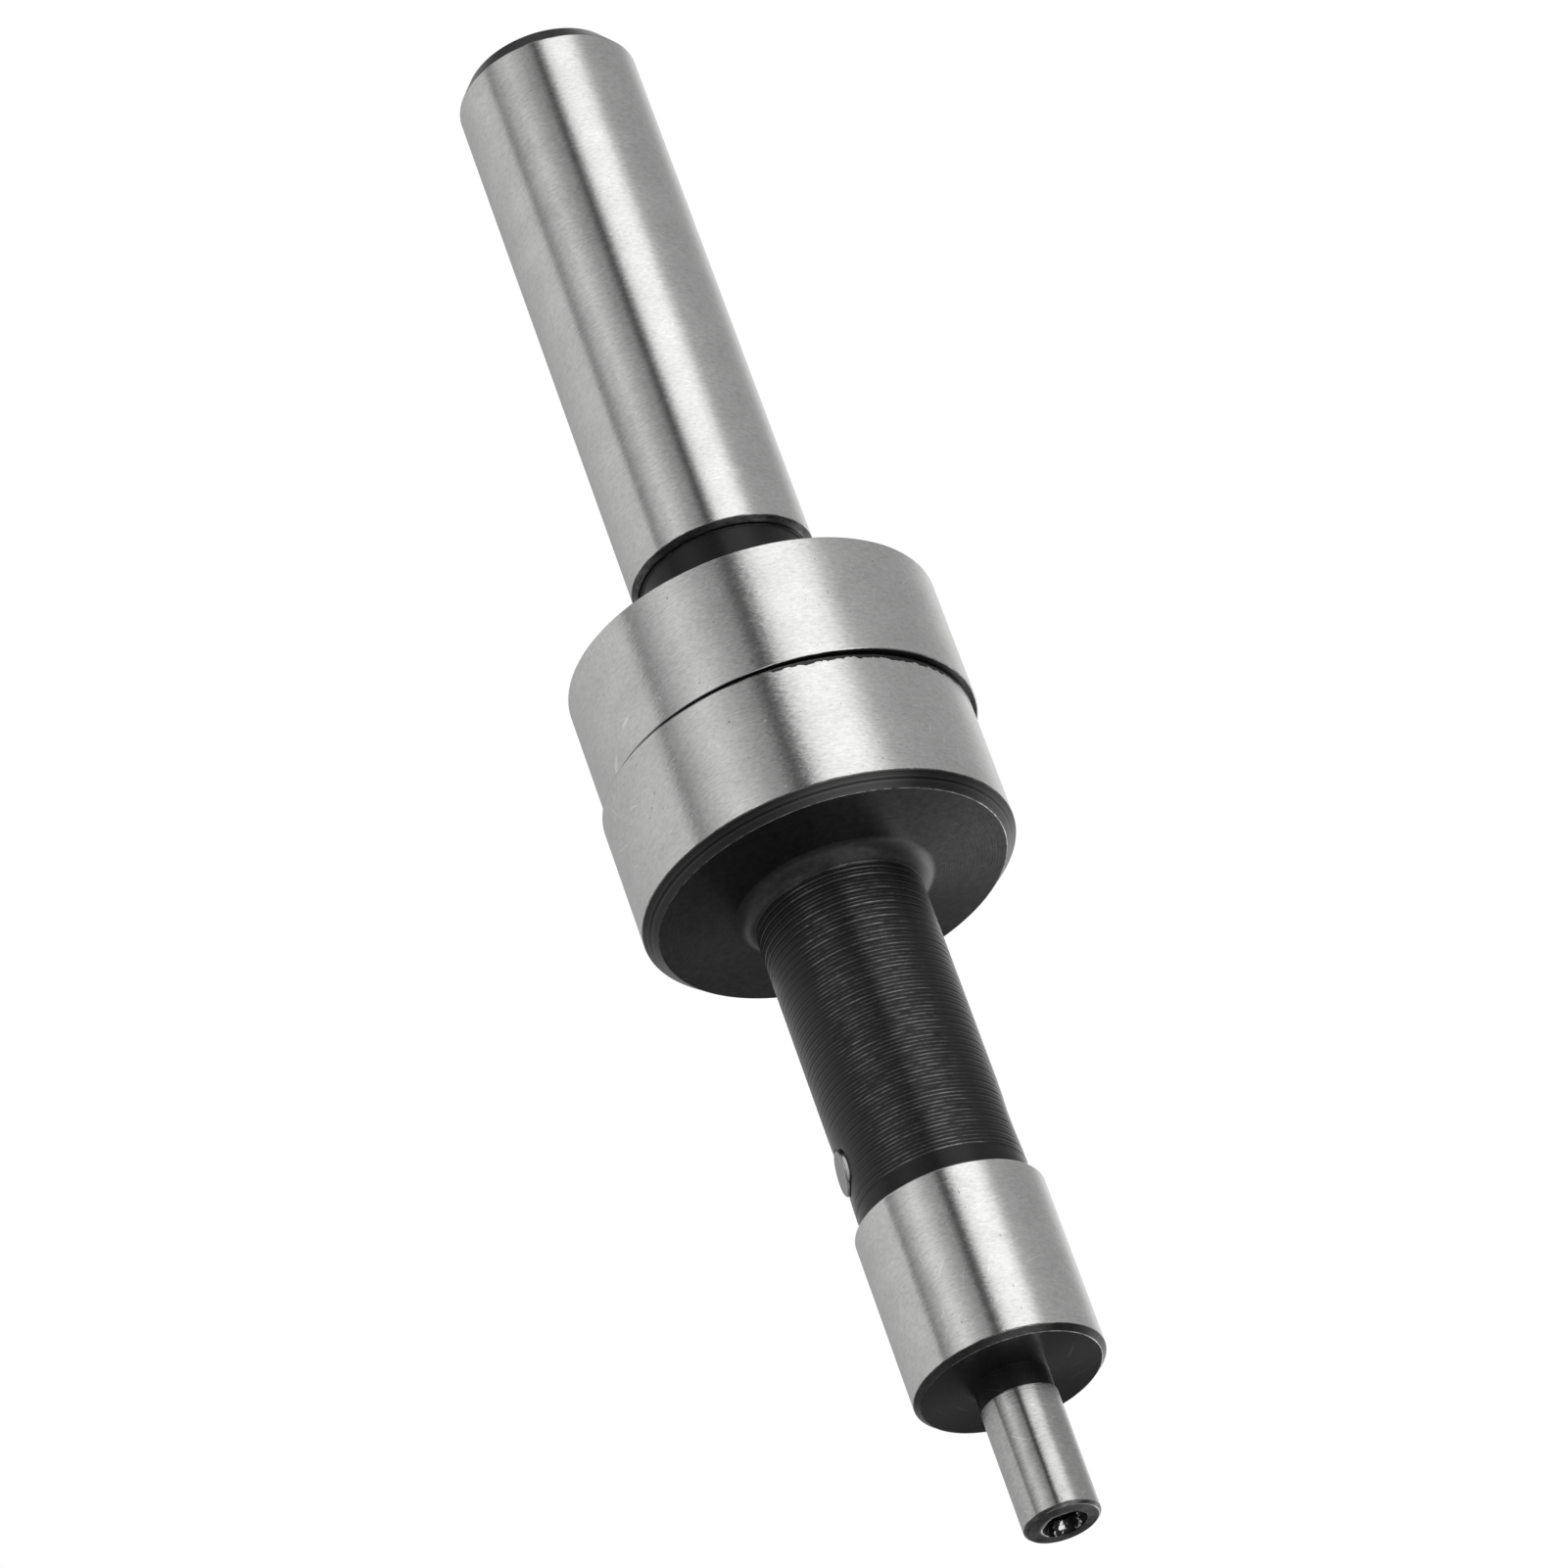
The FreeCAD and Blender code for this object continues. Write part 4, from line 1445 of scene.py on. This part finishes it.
# Radius and height of each ring of the tent in metres, and the levels that its cards have there.
tent_profile = [
    (0.25, -0.72, ring_cards), (0.85, -0.72, ring_cards), (1.0, -0.62, low_cards), (1.0, -0.34, low_cards),
    (1.0, -0.14, wall_cards), (1.0, 1.30, high_cards), (0.85, 1.70, roof_cards), (0.3, 2.0, roof_cards),
]
print("wall levels from", wall_cards[:, 1].min(), "to", wall_cards[:, 1].max())

# %% Tent of cards


def make_tent():
    """Rings of cards joined into a tent whose light level is a value of its mesh.

    A ring of radius R lies at R (s sin a - d cos a) + u z, where s, d and u are the camera's sideways,
    forward and upward directions and a is the angle from the camera's side.
    """
    angle = np.linspace(-180, 180, tent_columns + 1)
    turn = np.radians(angle)[:, None]
    ring = side_way * np.sin(turn) - deep_way * np.cos(turn)
    points = np.stack([ring * radius + up_way * height for radius, height, _ in tent_profile])
    level = np.stack([np.interp(angle, *cards.T) for _, _, cards in tent_profile])
    index = np.arange(level.size).reshape(level.shape)
    faces = np.stack([index[:-1, :-1], index[:-1, 1:], index[1:, 1:], index[1:, :-1]], axis=-1)
    mesh = bpy.data.meshes.new("tent")
    mesh.from_pydata(points.reshape(-1, 3).tolist(), [], faces.reshape(-1, 4).tolist())
    mesh.attributes.new("level", "FLOAT", "POINT").data.foreach_set("value", level.ravel())
    made = bpy.data.objects.new("tent", mesh)
    bpy.context.scene.collection.objects.link(made)
    made.visible_camera = False
    made.visible_diffuse = False
    made.visible_shadow = False
    return made


def make_card_light():
    """Light of the tent's cards: each point glows at its own level."""
    material = bpy.data.materials.new("card_light")
    material.use_nodes = True
    tree = material.node_tree
    tree.nodes.clear()
    glow = add_node(tree, "ShaderNodeEmission", {"Strength": read_value(tree, "level")})
    add_node(tree, "ShaderNodeOutputMaterial", {"Surface": glow.outputs[0]})
    return material


tent = make_tent()
tent.data.materials.append(make_card_light())
print("tent:", len(tent.data.polygons), "cards")

# %% [markdown]
# The floor is a pale disc far under the tool, below the lowest camera. It thins out towards its rim,
# so that no horizon shows. The world is plain white, and gives matt surfaces all their light.

# %% Floor and world
floor_z = -0.74
floor_radius = 2.2
floor_level = 0.85
floor_roughness = 0.9
floor_corners = 128
fade_start, fade_end = 0.3, 0.98


def make_floor():
    """A round floor of one flat face: x = R cos a and y = R sin a, all at one height."""
    turn = np.linspace(0, 2 * math.pi, floor_corners + 1)[:-1]
    points = np.stack([np.cos(turn), np.sin(turn), np.full_like(turn, floor_z / floor_radius)], axis=-1)
    mesh = bpy.data.meshes.new("floor")
    mesh.from_pydata((points * floor_radius).tolist(), [], [list(range(floor_corners))])
    made = bpy.data.objects.new("floor", mesh)
    bpy.context.scene.collection.objects.link(made)
    return made


def make_floor_finish():
    """A pale matt finish that fades out between two distances from the floor's middle."""
    material = bpy.data.materials.new("floor")
    material.use_nodes = True
    tree = material.node_tree
    shader = tree.nodes["Principled BSDF"]
    shader.inputs["Base Color"].default_value = (floor_level,) * 3 + (1.0,)
    shader.inputs["Roughness"].default_value = floor_roughness
    place = add_node(tree, "ShaderNodeTexCoord").outputs["Object"]
    flat = add_node(tree, "ShaderNodeVectorMath", {0: place, 1: (1, 1, 0)}, operation="MULTIPLY")
    away = add_node(tree, "ShaderNodeVectorMath", {0: flat.outputs[0]}, operation="LENGTH").outputs["Value"]
    fade = remap(tree, away, fade_start * floor_radius, fade_end * floor_radius, 1.0, 0.0, smooth=True)
    tree.links.new(fade, shader.inputs["Alpha"])
    return material


def make_world():
    """A plain white world at strength 1, under which a matt colour shows as it is written."""
    world = bpy.data.worlds.new("studio")
    bpy.context.scene.world = world
    world.use_nodes = True
    background = world.node_tree.nodes["Background"]
    background.inputs["Color"].default_value = (1, 1, 1, 1)
    background.inputs["Strength"].default_value = 1.0


floor = make_floor()
floor.data.materials.append(make_floor_finish())
make_world()
bpy.context.scene.view_settings.view_transform = "Standard"
print("floor at", floor_z, "m")
